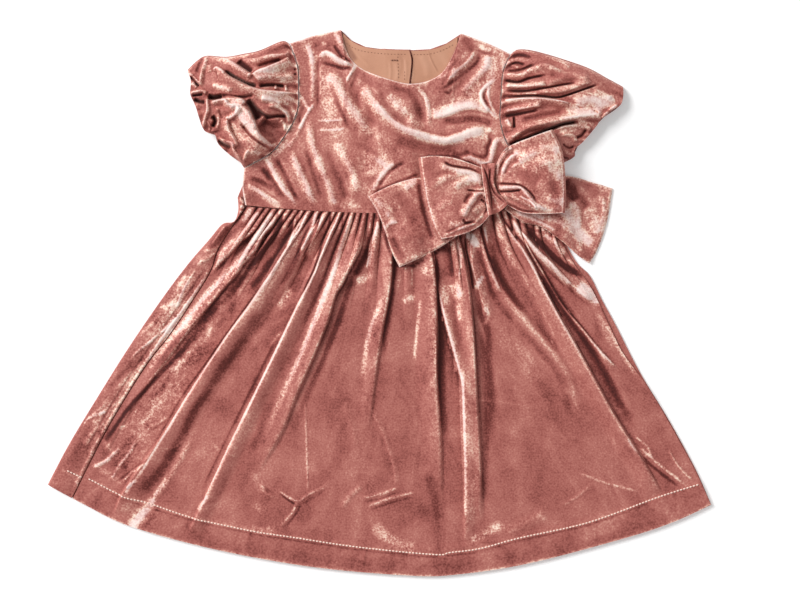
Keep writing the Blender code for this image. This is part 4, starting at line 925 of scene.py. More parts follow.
def makeFrontSkirt():
    plan = frontSkirt
    rows = gatherRows()
    count = len(rows)
    # the gathers' crests and the dips between them
    marks = np.zeros((2 * count + 1, 3))
    marks[1::2] = rows[:, :3]
    marks[2:-1:2] = (rows[:-1, :3] + rows[1:, :3]) / 2
    marks[0], marks[-1] = plan["start"], plan["end"]
    spots = np.linspace(0, 1, 2 * count + 1)
    hem = readAcross(outline["hem"])

    def top(u):
        x = np.interp(u, spots, marks[:, 0])
        return np.stack((x, waistAt(x) - wall["seam"] / 2), -1)

    def bottom(u):
        x = np.interp(u, spots, marks[:, 1])
        return np.stack((x, hem(x)), -1)
    seam, side = Edge(outline["leftSeam"][2:]), Edge(outline["rightSeam"])
    spread = panel(top, bottom, lambda v: seam(v) + np.array((plan["leftGap"], 0)), side, fade=5)
    u = [np.zeros(1)]
    for number, reach in enumerate(rows[:, 4]):
        # more columns where a gather is wide at the hem
        before, crest, after = marks[2 * number:2 * number + 3, 1]
        spacing = plan["fine"] if plan["creased"][0] < crest < plan["creased"][1] else plan["coarse"]
        columns = max(plan["fewest"], round((after - before) / spacing))
        t = 2 * np.arange(1, columns + 1) / columns - 1
        crowd = plan["crowd"] if reach == plan["foldReach"] else 1.0
        u.append((number + 0.5 + 0.5 * np.sign(t) * np.abs(t) ** crowd) / count)
    u, v = np.meshgrid(np.concatenate(u), steps(*plan["rows"]))
    place = spread(u, v)
    place[..., 0] += np.interp(u, spots, marks[:, 2]) * plan["bendPeak"] * v * (1 - v) ** 3
    index = np.minimum((u * count).astype(int), count - 1)
    crest = np.maximum(np.sin(math.pi * (u * count - index)), 0)
    high, reach = rows[index, 3], rows[index, 4]
    gather = high * np.clip(1 - v / reach, 0, 1) ** plan["runOut"] * crest ** plan["plump"]
    sewn = plan["sewnIn"] + (1 - plan["sewnIn"]) * ease(v / plan["sewnReach"])
    pressed, pale = press(place, plan["creases"])
    pressed *= ease((place[..., 0] - place[:, :1, 0]) / plan["seamed"])
    pressed = np.maximum(pressed, plan["deepest"])
    z = wall["frontLow"] + wall["thick"] + gather * sewn
    z += pressed * ease(v / plan["creaseReach"] + plan["creaseStart"])
    z += plan["hemExtra"] * ease((v - plan["hemAt"]) / plan["hemWide"])
    z = np.maximum(z, wall["frontLow"] + plan["least"])
    # painted light by slope and relief, fading down the skirt
    fade = plan["fade"] * ease((v - plan["fadeFrom"]) / plan["fadeWide"])
    napAndLight = litByForm(place, z, plan["steep"]) * (1 - fade)
    napAndLight += pale + press(place, plan["streaks"])[1]
    # a painted highlight along the hem's edge
    napAndLight += plan["hemPale"] * glint((1 - v) * plan["long"], plan["hemGlint"])
    # painted highlights on the gathers' crests and painted shade in the band where they are sewn in
    sewn = np.clip(1 - v / plan["gatherReach"], 0, 1)
    napAndLight += (plan["gatherPale"] * crest ** 2 - plan["gatherDark"]) * sewn
    crushed = press(place, plan["crushed"])[1]
    napAndLight = np.clip(napAndLight + plan["crushedPale"] * np.maximum(crushed, 0), plan["darkest"], plan["palest"])
    inner = hangUnder(place, z, wall["frontLow"])
    return shell(plan["name"], stack(place, z), stack(place, inner), napAndLight, rose, coarse=4, crushed=crushed)


dress(makeFrontSkirt(), "front_skirt")

# ---- bodice

bodice = dict(
    name="bodice_front", flat=(0.292, 0.17), area=0.036, size=(290, 165), neckShare=0.6, armShare=0.78,
    columns=((0.008, 4), (0.2, 47), (0.8, 150), (0.992, 47), (1.0, 4)),
    rows=((0.014, 5), (0.78, 106), (1.0, 34)),
    smooth=12, deep=0.7, deepest=-1.6, hold=(14, 9), holdStart=0.12, rimLow=0.5, rimReach=0.7, least=0.5,
    # the nap: its lift, painted light by slope, how dark the creases are, a painted highlight along the rims,
    # and how crushed the pile is
    lift=0.24, steep=0.12, darkShare=0.75, rimPale=1.5, rimGlint=1.1, crushed=-0.15,
    creases=(
        # upper left: the ridges that run from the neck, and the tube below them
        ((356.7, 64, 351.7, 73, 346, 83), 2.2, 1, 1.6), ((359, 68, 356, 78, 351, 88), (3, 4), -0.5, -1),
        ((319, 58, 325, 52.5, 332, 55, 340, 61, 350, 64, 356, 65), (7, 3), (0.5, 1.2, 0.9, 0.6), 3.2),
        ((322, 63, 333, 66, 343, 69, 352, 68), 3, -0.8, -1.6),
        ((334, 45, 341, 56, 352, 64), (2.6, 3), -1, -2), ((336, 33, 344, 48, 352, 60), (4, 3), 0.5, 1.4),
        ((330, 72, 336, 80, 343, 92, 350, 105, 358, 116, 365, 128, 371, 137), (13, 8),
         (0.4, 0.8, 0.85, 0.4), 2.6),
        ((352, 84, 362, 106, 376, 128), 7, -0.3, -1.2),
        # the long sweep across the middle
        ((365.5, 85, 369, 96, 378, 107, 387, 117, 397, 125, 408, 131, 420, 134.5, 434, 138.5, 447, 140, 459,
         136, 471, 131, 484, 129), (10, 5), (0.5, 0.85, 0.95, 0.9, 0.7), (2, 4, 4.2, 4, 3)),
        ((361, 92, 363, 105, 368, 120), 5, 0.5, 1), ((378, 92, 392, 110, 408, 122), (5, 7), -0.3, -1.4),
        ((389, 87, 407, 92, 417, 105, 424, 124), 6, -0.5, -1.6),
        ((417, 88, 425, 98, 428.5, 112, 428, 127), (3, 4), (0.6, 0.8, 0.3), 1.4),
        ((396, 142, 412, 146, 434, 151, 456, 150), (8, 9), -0.5, -1.4),
        ((452, 154, 461, 156, 470, 152), (4, 5), -0.6, -1.4),
        # upper right
        ((431, 117, 442, 116, 453, 112, 467, 108, 480, 109, 489, 113), (4, 11), (0.5, 0.7, 0.6), (2, 3, 3)),
        ((443, 121, 458, 121, 472, 119, 484, 121, 492, 125), (6, 5), (-0.9, -0.9, -1.2), -2.4),
        ((479, 53, 476.5, 63, 463, 74, 450, 84, 441, 91), (3, 4), -0.8, -1.6),
        ((460, 58, 451, 68, 446, 80, 442, 87), 3, -0.7, -1.2),
        ((474, 52, 468, 62, 456, 72, 447, 82), 3, 0.6, 1.6),
        ((487, 54, 486, 66, 474, 80, 460, 94), 6, 0.6, 2), ((478, 46, 486, 50, 497, 52), (3, 4), 0.7, 1),
        ((477, 50, 486, 54, 493, 51), 2.4, -0.8, -1.2), ((444, 92, 449, 93.5, 452, 90), 2.4, -0.8, -1),
        ((437, 80, 446, 75, 456, 68), 4, 0.7, 0.8),
        ((496, 79, 485, 87, 480.5, 96, 485, 107, 492, 114, 498, 121), (2.4, 3), 1, 1.8),
        ((489, 86, 488, 96, 492, 108, 498, 118), (2, 2.4), 0.8, 1.2),
        ((486, 90, 484, 98, 489, 108), 2.4, -0.5, -1), ((487, 132, 490, 140, 484, 150), 4, -0.6, -1.2),
        ((491, 128, 487, 136, 489, 146), 3, 0.5, 1),
        # by the bow
        ((459, 160, 467, 157.5, 475, 159, 482, 163, 488, 163, 491.5, 158, 493, 149, 497, 141, 503, 141, 508,
         147), 5, (0.7, 0.8, 0.8, 0.9), 2.4),
        ((470, 154, 479, 157, 486, 156, 488, 148, 491, 139), 3, -0.9, -1.4),
        # lower left
        ((247, 185, 257, 190, 268, 198, 282, 207), (6, 4), (0.7, 0.9, 0.7), 2.4),
        ((250, 178, 262, 182, 274, 190), (5, 4), -1.1, -1.2),
        ((264, 154, 274, 173, 284, 190, 291, 198, 297, 207), (4, 6), (0.6, 0.8, 0.7), 2.6),
        ((262, 168, 270, 179, 284, 199), 5, -1.2), ((276, 158, 287, 178, 298, 202), 4, -0.7, -1.4),
        ((252, 166, 262, 168, 271, 182), 4, -0.3, -0.8),
        ((291, 152, 300, 170, 309, 190, 315, 206), (7, 5), (0.5, 0.7, 0.7), 2.2),
        ((306, 150, 313, 172, 322, 200), 4, -0.4, -1),
        ((309, 120, 312, 142, 321, 167, 331, 192, 335, 206), (7, 6), (0.5, 0.7, 0.7, 0.6), 2),
        ((327, 150, 337, 175, 348, 202), 7, -0.6, -1.4),
        ((336, 142, 343, 155, 353, 175, 357, 193), 7, (0.6, 0.7, 0.5), 1.8),
        ((371, 193, 379, 181, 388, 170, 396, 163), (4, 5), 0.7, 1.4),
        ((378, 188, 390, 172, 405, 163), (3, 4), -0.9, -1.6), ((362, 154, 374, 158, 388, 168), 5, 0.4, 0.8),
        ((318, 121, 332, 121, 345, 120), 1.8, 0.8, 0.6), ((318, 130, 332, 130.5, 346, 129), 1.8, 0.9, 0.6),
        # along the left armhole
        ((308, 44, 312, 60, 313, 80, 312, 104), 4, (0.4, 0.8, 0.8, 0.4), 1.2),
        ((318, 56, 318.5, 80, 318, 108), 2.4, -0.7, -0.8),
        ((314, 104, 307, 114, 299, 130), (2.2, 3), 1.1, 1.4),
        ((297, 94, 303, 100, 310, 112), (2.6, 3), 0.8, 1.2),
        ((304, 118, 296, 136, 287, 149), (3, 4), 0.6, 1), ((290, 141, 281, 150, 272, 157), 4, 0.8),
        ((304, 106, 300, 116, 300, 124), 3, -0.8, -1),
    ),
    streaks=(
        # nap and painted light alone, with no height: mostly painted sheen on the folds and painted shade
        # beside them
        ((300, 37, 309, 50, 317, 64), 9, 0.7), ((334, 33, 340, 44), 4, 0.8),
        ((321, 70, 326, 88, 329, 108, 336, 128, 340, 138), 13, (0.6, 0.7, 0.5, 0.4)),
        ((331, 84, 338, 104, 348, 128), 3.5, -0.8), ((356, 78, 362, 84, 366, 92), 3, 0.3),
        ((388, 96, 396, 106, 408, 118, 424, 130), 9, (0.8, 0.9, 0.7, 0.4)), ((398, 100, 404, 104), 4, 0.5),
        ((368, 100, 374, 122, 384, 142, 392, 150), (12, 10), 0.2),
        ((396, 86, 412, 87, 430, 84), (3, 4), 0.4),
        ((434, 116, 450, 108, 468, 100, 484, 96), (11, 10), (0.5, 0.8, 0.8, 0.6)),
        ((434, 124, 432, 112, 436, 104), 5, 0.3), ((446, 68, 460, 60, 468, 52), 4, 0.5),
        ((500, 52, 503, 62, 504, 72), 4, 0.8), ((466, 96, 474, 89, 480, 82), 5, 0.6),
        ((452, 79, 461, 75, 468, 68), 4, 0.7), ((490, 56, 491, 74, 484, 96), (13, 12), (0.8, 0.9, 0.7)),
        ((452, 144, 466, 138, 478, 134, 486, 136), 9, (0.4, 0.8, 0.9, 0.6)), ((494, 130, 494, 136), 4, 0.5),
        ((362, 158, 374, 170, 384, 162, 380, 184), 12, 0.7), ((362, 184, 372, 196, 380, 204), 8, 0.4),
        ((345, 198, 352, 204), 6, 0.5), ((258, 160, 270, 150, 284, 144), 5, 0.4),
        ((289, 160, 300, 182, 308, 200), (5, 4), 0.4), ((330, 200, 346, 206, 362, 206), 4, 0.5),
        ((376, 150, 392, 156, 404, 152), 6, 0.2), ((470, 160, 480, 164, 488, 165), 3, 0.6),
        ((312, 50, 322, 42, 330, 48), 5, -0.5), ((322, 42, 326, 46), 3, 0.9),
        # painted shadows along the top edges of the left tail and of the left loop
        ((371, 194, 390, 186, 410, 178, 418, 175), (2, 3), -1.1),
        ((418, 157, 442, 156, 454, 157, 466, 161.5, 480, 166.5), (1.4, 1.8), -1.1),
        ((463, 38, 468, 44, 474, 52), 6, -0.6), ((360, 74, 372, 82, 382, 90), (7, 6), -0.5),
        ((344, 86, 352, 98), 4, -0.4), ((366, 104, 372, 120, 384, 134), 5, -0.3),
        ((266, 170, 278, 188), 3, -0.3), ((350, 142, 362, 148), 5, -0.3),
    ),
)


def makeBodice():
    plan = bodice
    left, right = outline["sideLeft"][-2], outline["sideRight"][-2]

    def bottom(u):
        x = left + (right - left) * np.asarray(u)
        return np.stack((x, waistAt(x) + wall["seam"] / 2), -1)
    shoulder, arm = (1 - plan["neckShare"]) / 2, (plan["armShare"], 1 - plan["armShare"])
    sheet = panel(Edge(outline["shoulderLeft"], outline["neckFront"], outline["shoulderRight"],
                       shares=(shoulder, plan["neckShare"], shoulder)), bottom,
                  Edge(outline["armholeLeft"], outline["sideLeft"], shares=arm),
                  Edge(outline["armholeRight"], outline["sideRight"], shares=arm))
    u, v = np.meshgrid(steps(*plan["columns"]), steps(*plan["rows"]))
    place = sheet(u, v)
    z = soften(solidHeight("front_bodice", place), plan["smooth"])
    high, pale = press(place, plan["creases"])
    held = np.minimum(inward(u) * plan["hold"][0], inward(v) * plan["hold"][1])
    z = z + np.maximum(high, plan["deepest"]) * ease(held + plan["holdStart"]) * plan["deep"]
    rim = np.minimum(inward(u) * plan["size"][0], v * plan["size"][1])
    z = z - plan["rimLow"] * glint(rim, plan["rimReach"])
    napAndLight = plan["lift"] + np.where(pale > 0, pale, plan["darkShare"] * pale)
    napAndLight += press(place, plan["streaks"])[1]
    # painted light by slope and relief, and a painted highlight along the rims
    napAndLight += litByForm(place, z, plan["steep"]) + plan["rimPale"] * glint(rim, plan["rimGlint"])
    floor = solidHeight("front_bodice", place, below=True)
    inner = np.minimum(hangUnder(place, z, floor), z - plan["least"])
    return shell(plan["name"], stack(place, z), stack(place, inner), napAndLight, rose, crushed=plan["crushed"])


dress(makeBodice(), "front_bodice")


# the panels of the back: the longest edge and how near vertices are joined, both in metres, how often long
# edges are cut, the degrees that make an edge sharp; flat sizes and areas
backBodice = dict(
    longest=0.008, joined=1e-6, cuts=3, sharp=40,
    halves=dict(left=((0.165, 0.165), 0.0185), right=((0.17, 0.165), 0.0195)),
)


def makeBackHalf(side):
    # a flat panel that lies under the others keeps its solid's form, with a finer net of faces
    plan = backBodice
    node, name = f"back_bodice_{side}", f"bodice_back_{side}"
    bm = bmesh.new()
    bm.from_mesh(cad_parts[node].data)
    bmesh.ops.remove_doubles(bm, verts=bm.verts, dist=plan["joined"])
    for cut in range(plan["cuts"]):
        long = [edge for edge in bm.edges if edge.calc_length() > plan["longest"]]
        if long:
            bmesh.ops.subdivide_edges(bm, edges=long, cuts=1)
            bmesh.ops.triangulate(bm, faces=bm.faces)
    mesh = bpy.data.meshes.new(name)
    bm.to_mesh(mesh)
    bm.free()
    mesh.attributes.new("napAndLight", 'FLOAT', 'POINT')
    lay(mesh, np.array([vertex.co.xy for vertex in mesh.vertices]))
    return dress(finished(name, mesh, rose, plan["sharp"]), node)


for side in backBodice["halves"]:
    makeBackHalf(side)

# ---- lining

lining = dict(
    halves=dict(left=(-33.0, 27.4, (0.066, 0.066), 0.0030), right=(29.0, 70.0, (0.045, 0.065), 0.0022)),
    placket=(170, -1.2, 195, -0.9, 206, 0.3, 214, 1.1, 220, 1, 228, -1.2),
    columns=70, rows=60, turnedIn=0.8, thick=0.8, bendShare=4, smooth=2, napAndLightShare=0.8,
    low=(-33, 232, -20, 200, 0, 186, 30, 180, 55, 190, 71, 228),
    creases=(
        ((343, 36, 349, 50, 356, 62), 5, -1.1, 0.2), ((352, 48, 360, 58, 370, 68), (2, 3), 0.1, 0.2),
        ((390, 62, 391, 72, 390, 82), 2, -0.15, 0.3), ((396, 64, 398, 74, 396, 82), 3, 0.08, 0.3),
        ((405, 60, 406, 70, 405, 82), (1.6, 3), 0.1, 0.3), ((399, 54, 403, 62, 402, 76), 3, -0.2, -0.2),
        ((428, 52, 432, 62, 438, 73), 1.2, -0.6, 0.4), ((421, 56, 426, 66, 428, 78), 5, 0.25, 0.3),
        ((458, 42, 454, 54, 449, 64), 2.4, -0.8, 0.2), ((436, 52, 444, 58, 448, 66), 5, 0.2, 0.2),
        ((413, 66, 413.5, 74, 412, 84), 2, 0.1, 0.2), ((360, 44, 384, 49, 408, 50, 440, 50), 2, 0.3, 0.1),
    ),
)


def taut(x, z):
    # cloth that spans the dips between the places that carry it
    held = [0]
    for spot in range(1, len(x)):
        while len(held) > 1 and ((z[held[-1]] - z[held[-2]]) * (x[spot] - x[held[-2]])
                                 <= (z[spot] - z[held[-2]]) * (x[held[-1]] - x[held[-2]])):
            held.pop()
        held.append(spot)
    return np.interp(x, x[held], z[held])


def makeLining(side):
    plan = lining
    left, right, flat, area = plan["halves"][side]
    neck, low = readAcross(outline["neckBack"]), readAcross(plan["low"])
    u, v = np.meshgrid(np.linspace(0, 1, plan["columns"]), np.linspace(0, 1, plan["rows"]))
    x = left + (right - left) * u
    y = (neck(x) - plan["turnedIn"]) * (1 - v) + low(x) * v
    x = x + readAcross(plan["placket"])(y) * (u if side == "left" else 1 - u) ** plan["bendShare"]
    place = np.stack((x, y), -1)
    z = soften(solidHeight(f"back_lining_{side}", place), plan["smooth"])
    high, pale = press(place, plan["creases"])
    z = np.stack([taut(x[row], z[row]) for row in range(len(z))]) + high
    floor = solidHeight(f"back_lining_{side}", place, below=True)
    inner = np.minimum(np.maximum(z - plan["thick"], floor), z - wall["least"])
    # the satin is paler or darker along its creases, as their nap and painted light gives
    piece = shell(f"lining_{side}", stack(place, z), stack(place, inner), plan["napAndLightShare"] * pale, peach)
    return dress(piece, f"back_lining_{side}")


for side in lining["halves"]:
    makeLining(side)

# ---- sleeves

sleeves = dict(
    topColumns=225, rimColumns=4, lowColumns=30, rows=((0.3, 51), (0.7, 51), (1.0, 51)),
    # the gap at the armhole, the rims, the swell from the armhole to where the cuff draws it in
    gap=0.65, rim=3.2, rimOut=0.8, rimIn=1.6, innerLow=1.8,
    low=2.0, swellReach=0.35, drawnIn=0.55, drawnFrom=0.6,
    # the gathers, how they fade from both ends, how unevenly they lie: size and turns
    gathers=12, cuffShare=0.5, cuffFrom=0.84, wander=(0.014, 17), spread=(0.02, 9), vary=(0.3, 23),
    creaseHigh=1.3, creaseReach=0.12, creaseStart=0.25,
    # the nap: painted highlights on the gathers and painted shade where they are sewn in, a painted highlight
    # along the armhole, and painted light by slope and relief
    gatherPale=0.5, gatherDark=0.15, rimPale=0.9, rimGlint=0.012, steep=0.12, closest=0.1,
    heights=((30, 0.14, -0.7, 0.5), (3, 0.7, -0.6, 0.5)),
    left=dict(
        cuff=(-172.4, 209.7, -168.8, 198.5, -169.2, 187.2, -164.3, 175.5, -157, 154.8, -148, 152, -144,
             142.2, -134.6, 133.2, -124.5, 126),
        upper=(-88, 235.4, -107.6, 227.2, -122, 224.1, -137.7, 221.4, -155.3, 222.3, -164, 217.8, -172.4,
             209.7),
        puff=13.0, reach=0.26, gather=1.1, lift=0.1, flat=(0.21, 0.11), area=0.0205,
        creases=(
            ((289, 47, 276, 48, 262, 50, 247, 54), (6, 5), 0, 2.5),
            ((290, 54, 283, 56.5, 269, 57.5, 260, 61, 247, 62), (3, 6), (0.9, 0.7, 0.5), 3.5),
            ((239, 62, 246, 68, 253, 74), (6, 5), -1.3, -5),
            ((258, 68, 270, 64, 282, 60), (4, 3), -0.7, -2.5),
            ((210, 56, 223, 59, 231, 63, 240, 69, 248, 74, 253.5, 78), (8, 2.4), (0.4, 0.9, 0.8),
             (3, 5, 5)),
            ((253.5, 77.5, 259, 73.5, 268, 70, 283, 62.5, 290, 59), (12, 2.4), (0.9, 0.9, 0.6), (5, 5, 4)),
            ((257, 82, 268, 80, 283, 78, 298, 77), (5, 6), 0.7, 3),
            ((226, 73, 235, 79, 247, 85.5, 258, 88), 3.5, -1.7, -6),
            ((260, 88, 272, 86.5, 285, 87), 3, -1.2, -4), ((276, 86, 277, 91), 2, 0.9, 2.5),
            ((286, 86, 287, 92), 2, 0.9, 2.5),
            ((215, 73, 218, 69.5, 225, 74, 232, 79.5, 243, 85, 253, 90, 263, 93, 278, 94, 298, 95),
             (13, 2.4), (0.1, 0.2, 0.6, 0.9), (3, 6, 6, 4.5, 4)),
            ((215, 73, 218, 69.5, 225, 74, 243, 85), (2, 1.6), 0.9),
            ((213, 87, 222, 89, 234, 93), 5, (0.5, 0.9, 0.7), 2), ((209, 64, 212, 74), (6, 5), 0.6, 1.5),
            ((209, 98, 216, 99, 224, 98), 4, -1.6, -5.5),
            ((222, 96.5, 240, 99, 256, 97), (3, 2.4), -0.9, -2.5),
            ((247, 103, 254, 110, 260, 121), 7, -1.8, -7.5),
            ((262, 122, 272, 130, 284, 134), (14, 12), -0.9, -7),
            ((262, 101, 272, 103, 283, 106), (4, 5), 0.9, 2.5),
            ((269, 107, 281, 110, 288, 116, 289, 124), (3, 4), (0.6, 0.9), 4),
            ((259, 111, 268, 118, 279, 117, 287, 117), 3, -1.2, -3.5),
            ((281, 121, 285, 126, 284, 132), 4, 0.5, 2),
            ((225, 98, 239, 100.5, 247, 105.5, 253, 118, 258, 131, 262, 138, 273, 147.5), (13, 2.6),
             (0.8, 0.9, 1, 0.9), (3, 5, 5.5, 5, 3)),
            ((213, 106, 217, 103, 226, 102, 231, 107, 242, 108.5), (6, 3), 0.7, 4),
            ((242, 109.5, 239, 114, 232, 120, 227, 119), (5, 2.2), 1, 3.5),
            ((216, 110, 226, 113, 236, 112), 5, 0.1, 2.5),
            ((237, 116, 242, 122, 246, 128), (6, 7), 0.7, 1.5),
            ((213, 117, 216, 122, 213, 128), (3, 4), -1.5, -4.5),
            ((221, 111, 222, 116, 224, 120), 2, -0.5, -1.2),
            ((219, 118, 220, 124, 218, 130), (2, 2.4), 0.7, 1.5),
            ((208, 122, 211, 127, 210, 133), 2, 0.5, 1.2),
            ((228, 121, 230, 130, 236, 141, 239, 148), (7, 2.4), (0.9, 0.8, 0.6), 4),
            ((231, 122, 233, 132, 240, 143), (2, 4), 0.3, -1.5),
            ((219, 138, 226, 142.5, 233, 145, 236, 153, 243, 161), (2.6, 3), 0.9, 3),
            ((219, 141, 226, 146, 232, 149), (3, 2.4), -0.9, -2.5),
            ((242, 125, 247, 131, 253, 138, 262, 145, 272, 150), 2.4, -1, -3),
            ((246, 140, 254, 149, 262, 155), 6, 0.6, 1.5), ((245, 162, 247, 156, 250, 152), 2.4, 0.9, 2.5),
            ((207, 55, 206, 63, 202.5, 75, 201.5, 88), (2.2, 4), 0.7, 3.5),
            ((203, 58, 200, 66, 197, 74), 3, -0.7, -2), ((188, 71, 194, 78, 201, 85.5), (3, 2.2), 0.9, 3),
            ((191, 77, 196, 82, 200, 88), 2.4, -1.4, -3.5), ((193, 84, 198, 89), 3, 0.9, 2),
            ((191, 94.5, 203, 92.5, 208, 95), 2.6, 0.6, 3), ((193, 97, 204, 95.5), 2, -1.2, -2.5),
            ((195, 100, 201, 103, 206, 103.5), 3, -1.2, -3.5),
            ((208, 99, 209, 111, 206, 120, 205, 129), (2.6, 3), 0.9, 3),
            ((232, 103, 240, 111, 248, 125, 254, 137), (7, 6), 0.9),
            ((233, 123, 238, 134, 246, 143), (5, 6), 0.6), ((258, 72, 272, 73, 296, 73), 5, 0.6),
            ((262, 99, 276, 99, 296, 99), 5, 0.6), ((266, 126, 276, 134, 284, 130), 5, 0.7),
            ((214, 86, 224, 90, 235, 95), 5, 0.2), ((245, 148, 254, 154, 262, 156), (6, 5), 0.6),
            ((264, 150, 272, 147, 280, 141), 3, 0.8), ((284, 104, 292, 107, 295, 114), 3, 0.8),
            ((280, 81, 290, 83, 297, 84), 4, 0.7), ((222, 57, 236, 58, 256, 53), 4, 0.5),
            ((216, 128, 222, 140, 230, 152), (6, 5), -0.4), ((198, 108, 201, 118, 204, 127), 4, -0.1, 1),
            ((294, 70, 297, 70), 2, -1, -2), ((294, 75, 297, 75), 2, -1, -2),
        ),
    ),
    right=dict(
        cuff=(218.8, 194.4, 218, 183, 214, 175.5, 199, 165, 194, 158, 182, 144, 175, 138, 174.5, 131, 165,
             126),
        upper=(123.8, 227.7, 133.3, 227.7, 146, 225, 164, 219.6, 187.3, 211.5, 204.8, 202, 218.8, 194.4),
        puff=14.0, reach=0.3, gather=0.8, lift=0.08, flat=(0.21, 0.12), area=0.0215,
        creases=(
            ((513, 52, 522, 50, 534, 53), 3, 0.4, 1.5), ((512, 58, 520, 56, 531, 59), 3, -0.8, -1.5),
            ((507, 62, 512, 66, 519, 69), 2.4, 0.6, 1.5), ((508, 66.5, 516, 63.5, 524, 66), 2, -1.1, -2),
            ((544, 56, 556, 61, 569, 70), (5, 6), 0.5, 1.8),
            ((507, 72, 520, 71, 533, 66), (2.2, 2.4), -0.9, -2),
            ((505, 76, 520, 76, 530, 71, 544, 67, 560, 74), (6, 3), (0.8, 0.6, 0.3), 3),
            ((504, 80.5, 517, 83.5, 528, 80, 545, 77), 2.2, -1.2, -2.5),
            ((530, 74, 548, 71, 566, 78), (6, 5), 0.3, 0.8),
            ((504, 87, 523, 88.5, 545, 87), (1.8, 6), 0.7, 4),
            ((545, 86, 560, 81, 575, 79, 588, 80), (5, 8), 0.2, 2.5),
            ((505, 91, 524, 92.5, 545, 90, 560, 87, 575, 85), (2, 2.2), -1.2, -2.5),
            ((504, 94, 520, 95.5, 538, 96), 2, 0.5, 1.5),
            ((504, 98, 532, 97.5, 553, 99.5, 563, 98, 583, 91, 597, 86), (1.6, 2.2), -1.5, -2.8),
            ((536, 94, 556, 94.5, 572, 90, 590, 83), (2.4, 9), 0.3, 3),
            ((504, 101.5, 523, 100.5, 548, 102, 568, 105.5), (8, 1.8), (0.9, 0.6, 0.4), 4.5),
            ((504, 101, 523, 100, 548, 101.5, 570, 105.5), 1.4, 0.8),
            ((503, 113, 523, 110, 541, 107.5), (1.8, 6), 0.8, 3),
            ((505, 117, 520, 115, 537, 112), (2.4, 2.6), -1, -2.4),
            ((505, 120, 509, 126, 510, 132), 4, 0.9, 3), ((513.5, 117, 514, 129), 2, -1.1, -2.4),
            ((520, 122, 540, 118, 562, 113), 5, -0.6, -1.2),
            ((508, 141, 523, 131, 545, 125, 563, 121.5, 583, 118, 602, 117), (5, 9),
             (0.4, 0.4, 0.5, 0.7, 0.9), (4, 6, 6, 5, 3)),
            ((558, 121, 580, 118, 597, 115), (1.4, 2), 0.9),
            ((508, 146, 532, 137, 553, 129, 563, 125.5, 577, 123), 3, -1.7, -6),
            ((572, 105, 588, 101, 603, 103, 614, 101), (10, 9), (1.2, 1.5, 1.2), 1),
            ((563, 109, 576, 112, 592, 112, 603, 107), 7, 1), ((548, 76, 560, 78, 574, 82), 6, -0.7),
            ((557, 134, 566, 132, 576, 131), 3, 0.7), ((592, 112, 597, 114), 2, -0.9, -1),
            ((576, 108, 580, 110), 2, -0.7, -0.6), ((592, 92, 602, 96, 610, 100), 4, 0.5, 1.2),
            ((617, 105, 606, 113, 600, 120), (2, 3), 0.8, 2), ((616, 109, 607, 116, 602, 122), 2, -1.3, -2),
            ((555, 130, 568, 127, 582, 128, 591, 131), 4, 0.8, 2),
            ((572, 123.5, 582, 123.5, 593, 126), 3, 0.7, 1.2),
            ((560, 136, 570, 137, 575, 143), 3.4, 0.5, 1.6),
            ((575, 139, 581, 136, 585, 130), 2.6, -1.3, -1.8),
            ((561, 145, 567, 149, 573, 147), 1.8, -0.9, -1.2),
            ((562, 152, 570, 155, 575, 149), 2.6, 0.5, 1.4), ((561, 158, 568, 160), 1.8, -0.8, -1),
            ((586, 124, 590, 130, 587, 136), 2, -0.7), ((566, 52, 584, 60, 600, 70), 3, 0.3, 0.8),
            ((543, 53, 552, 56, 560, 58), 1.4, -1.2, -0.8),
        ),
    ),
)


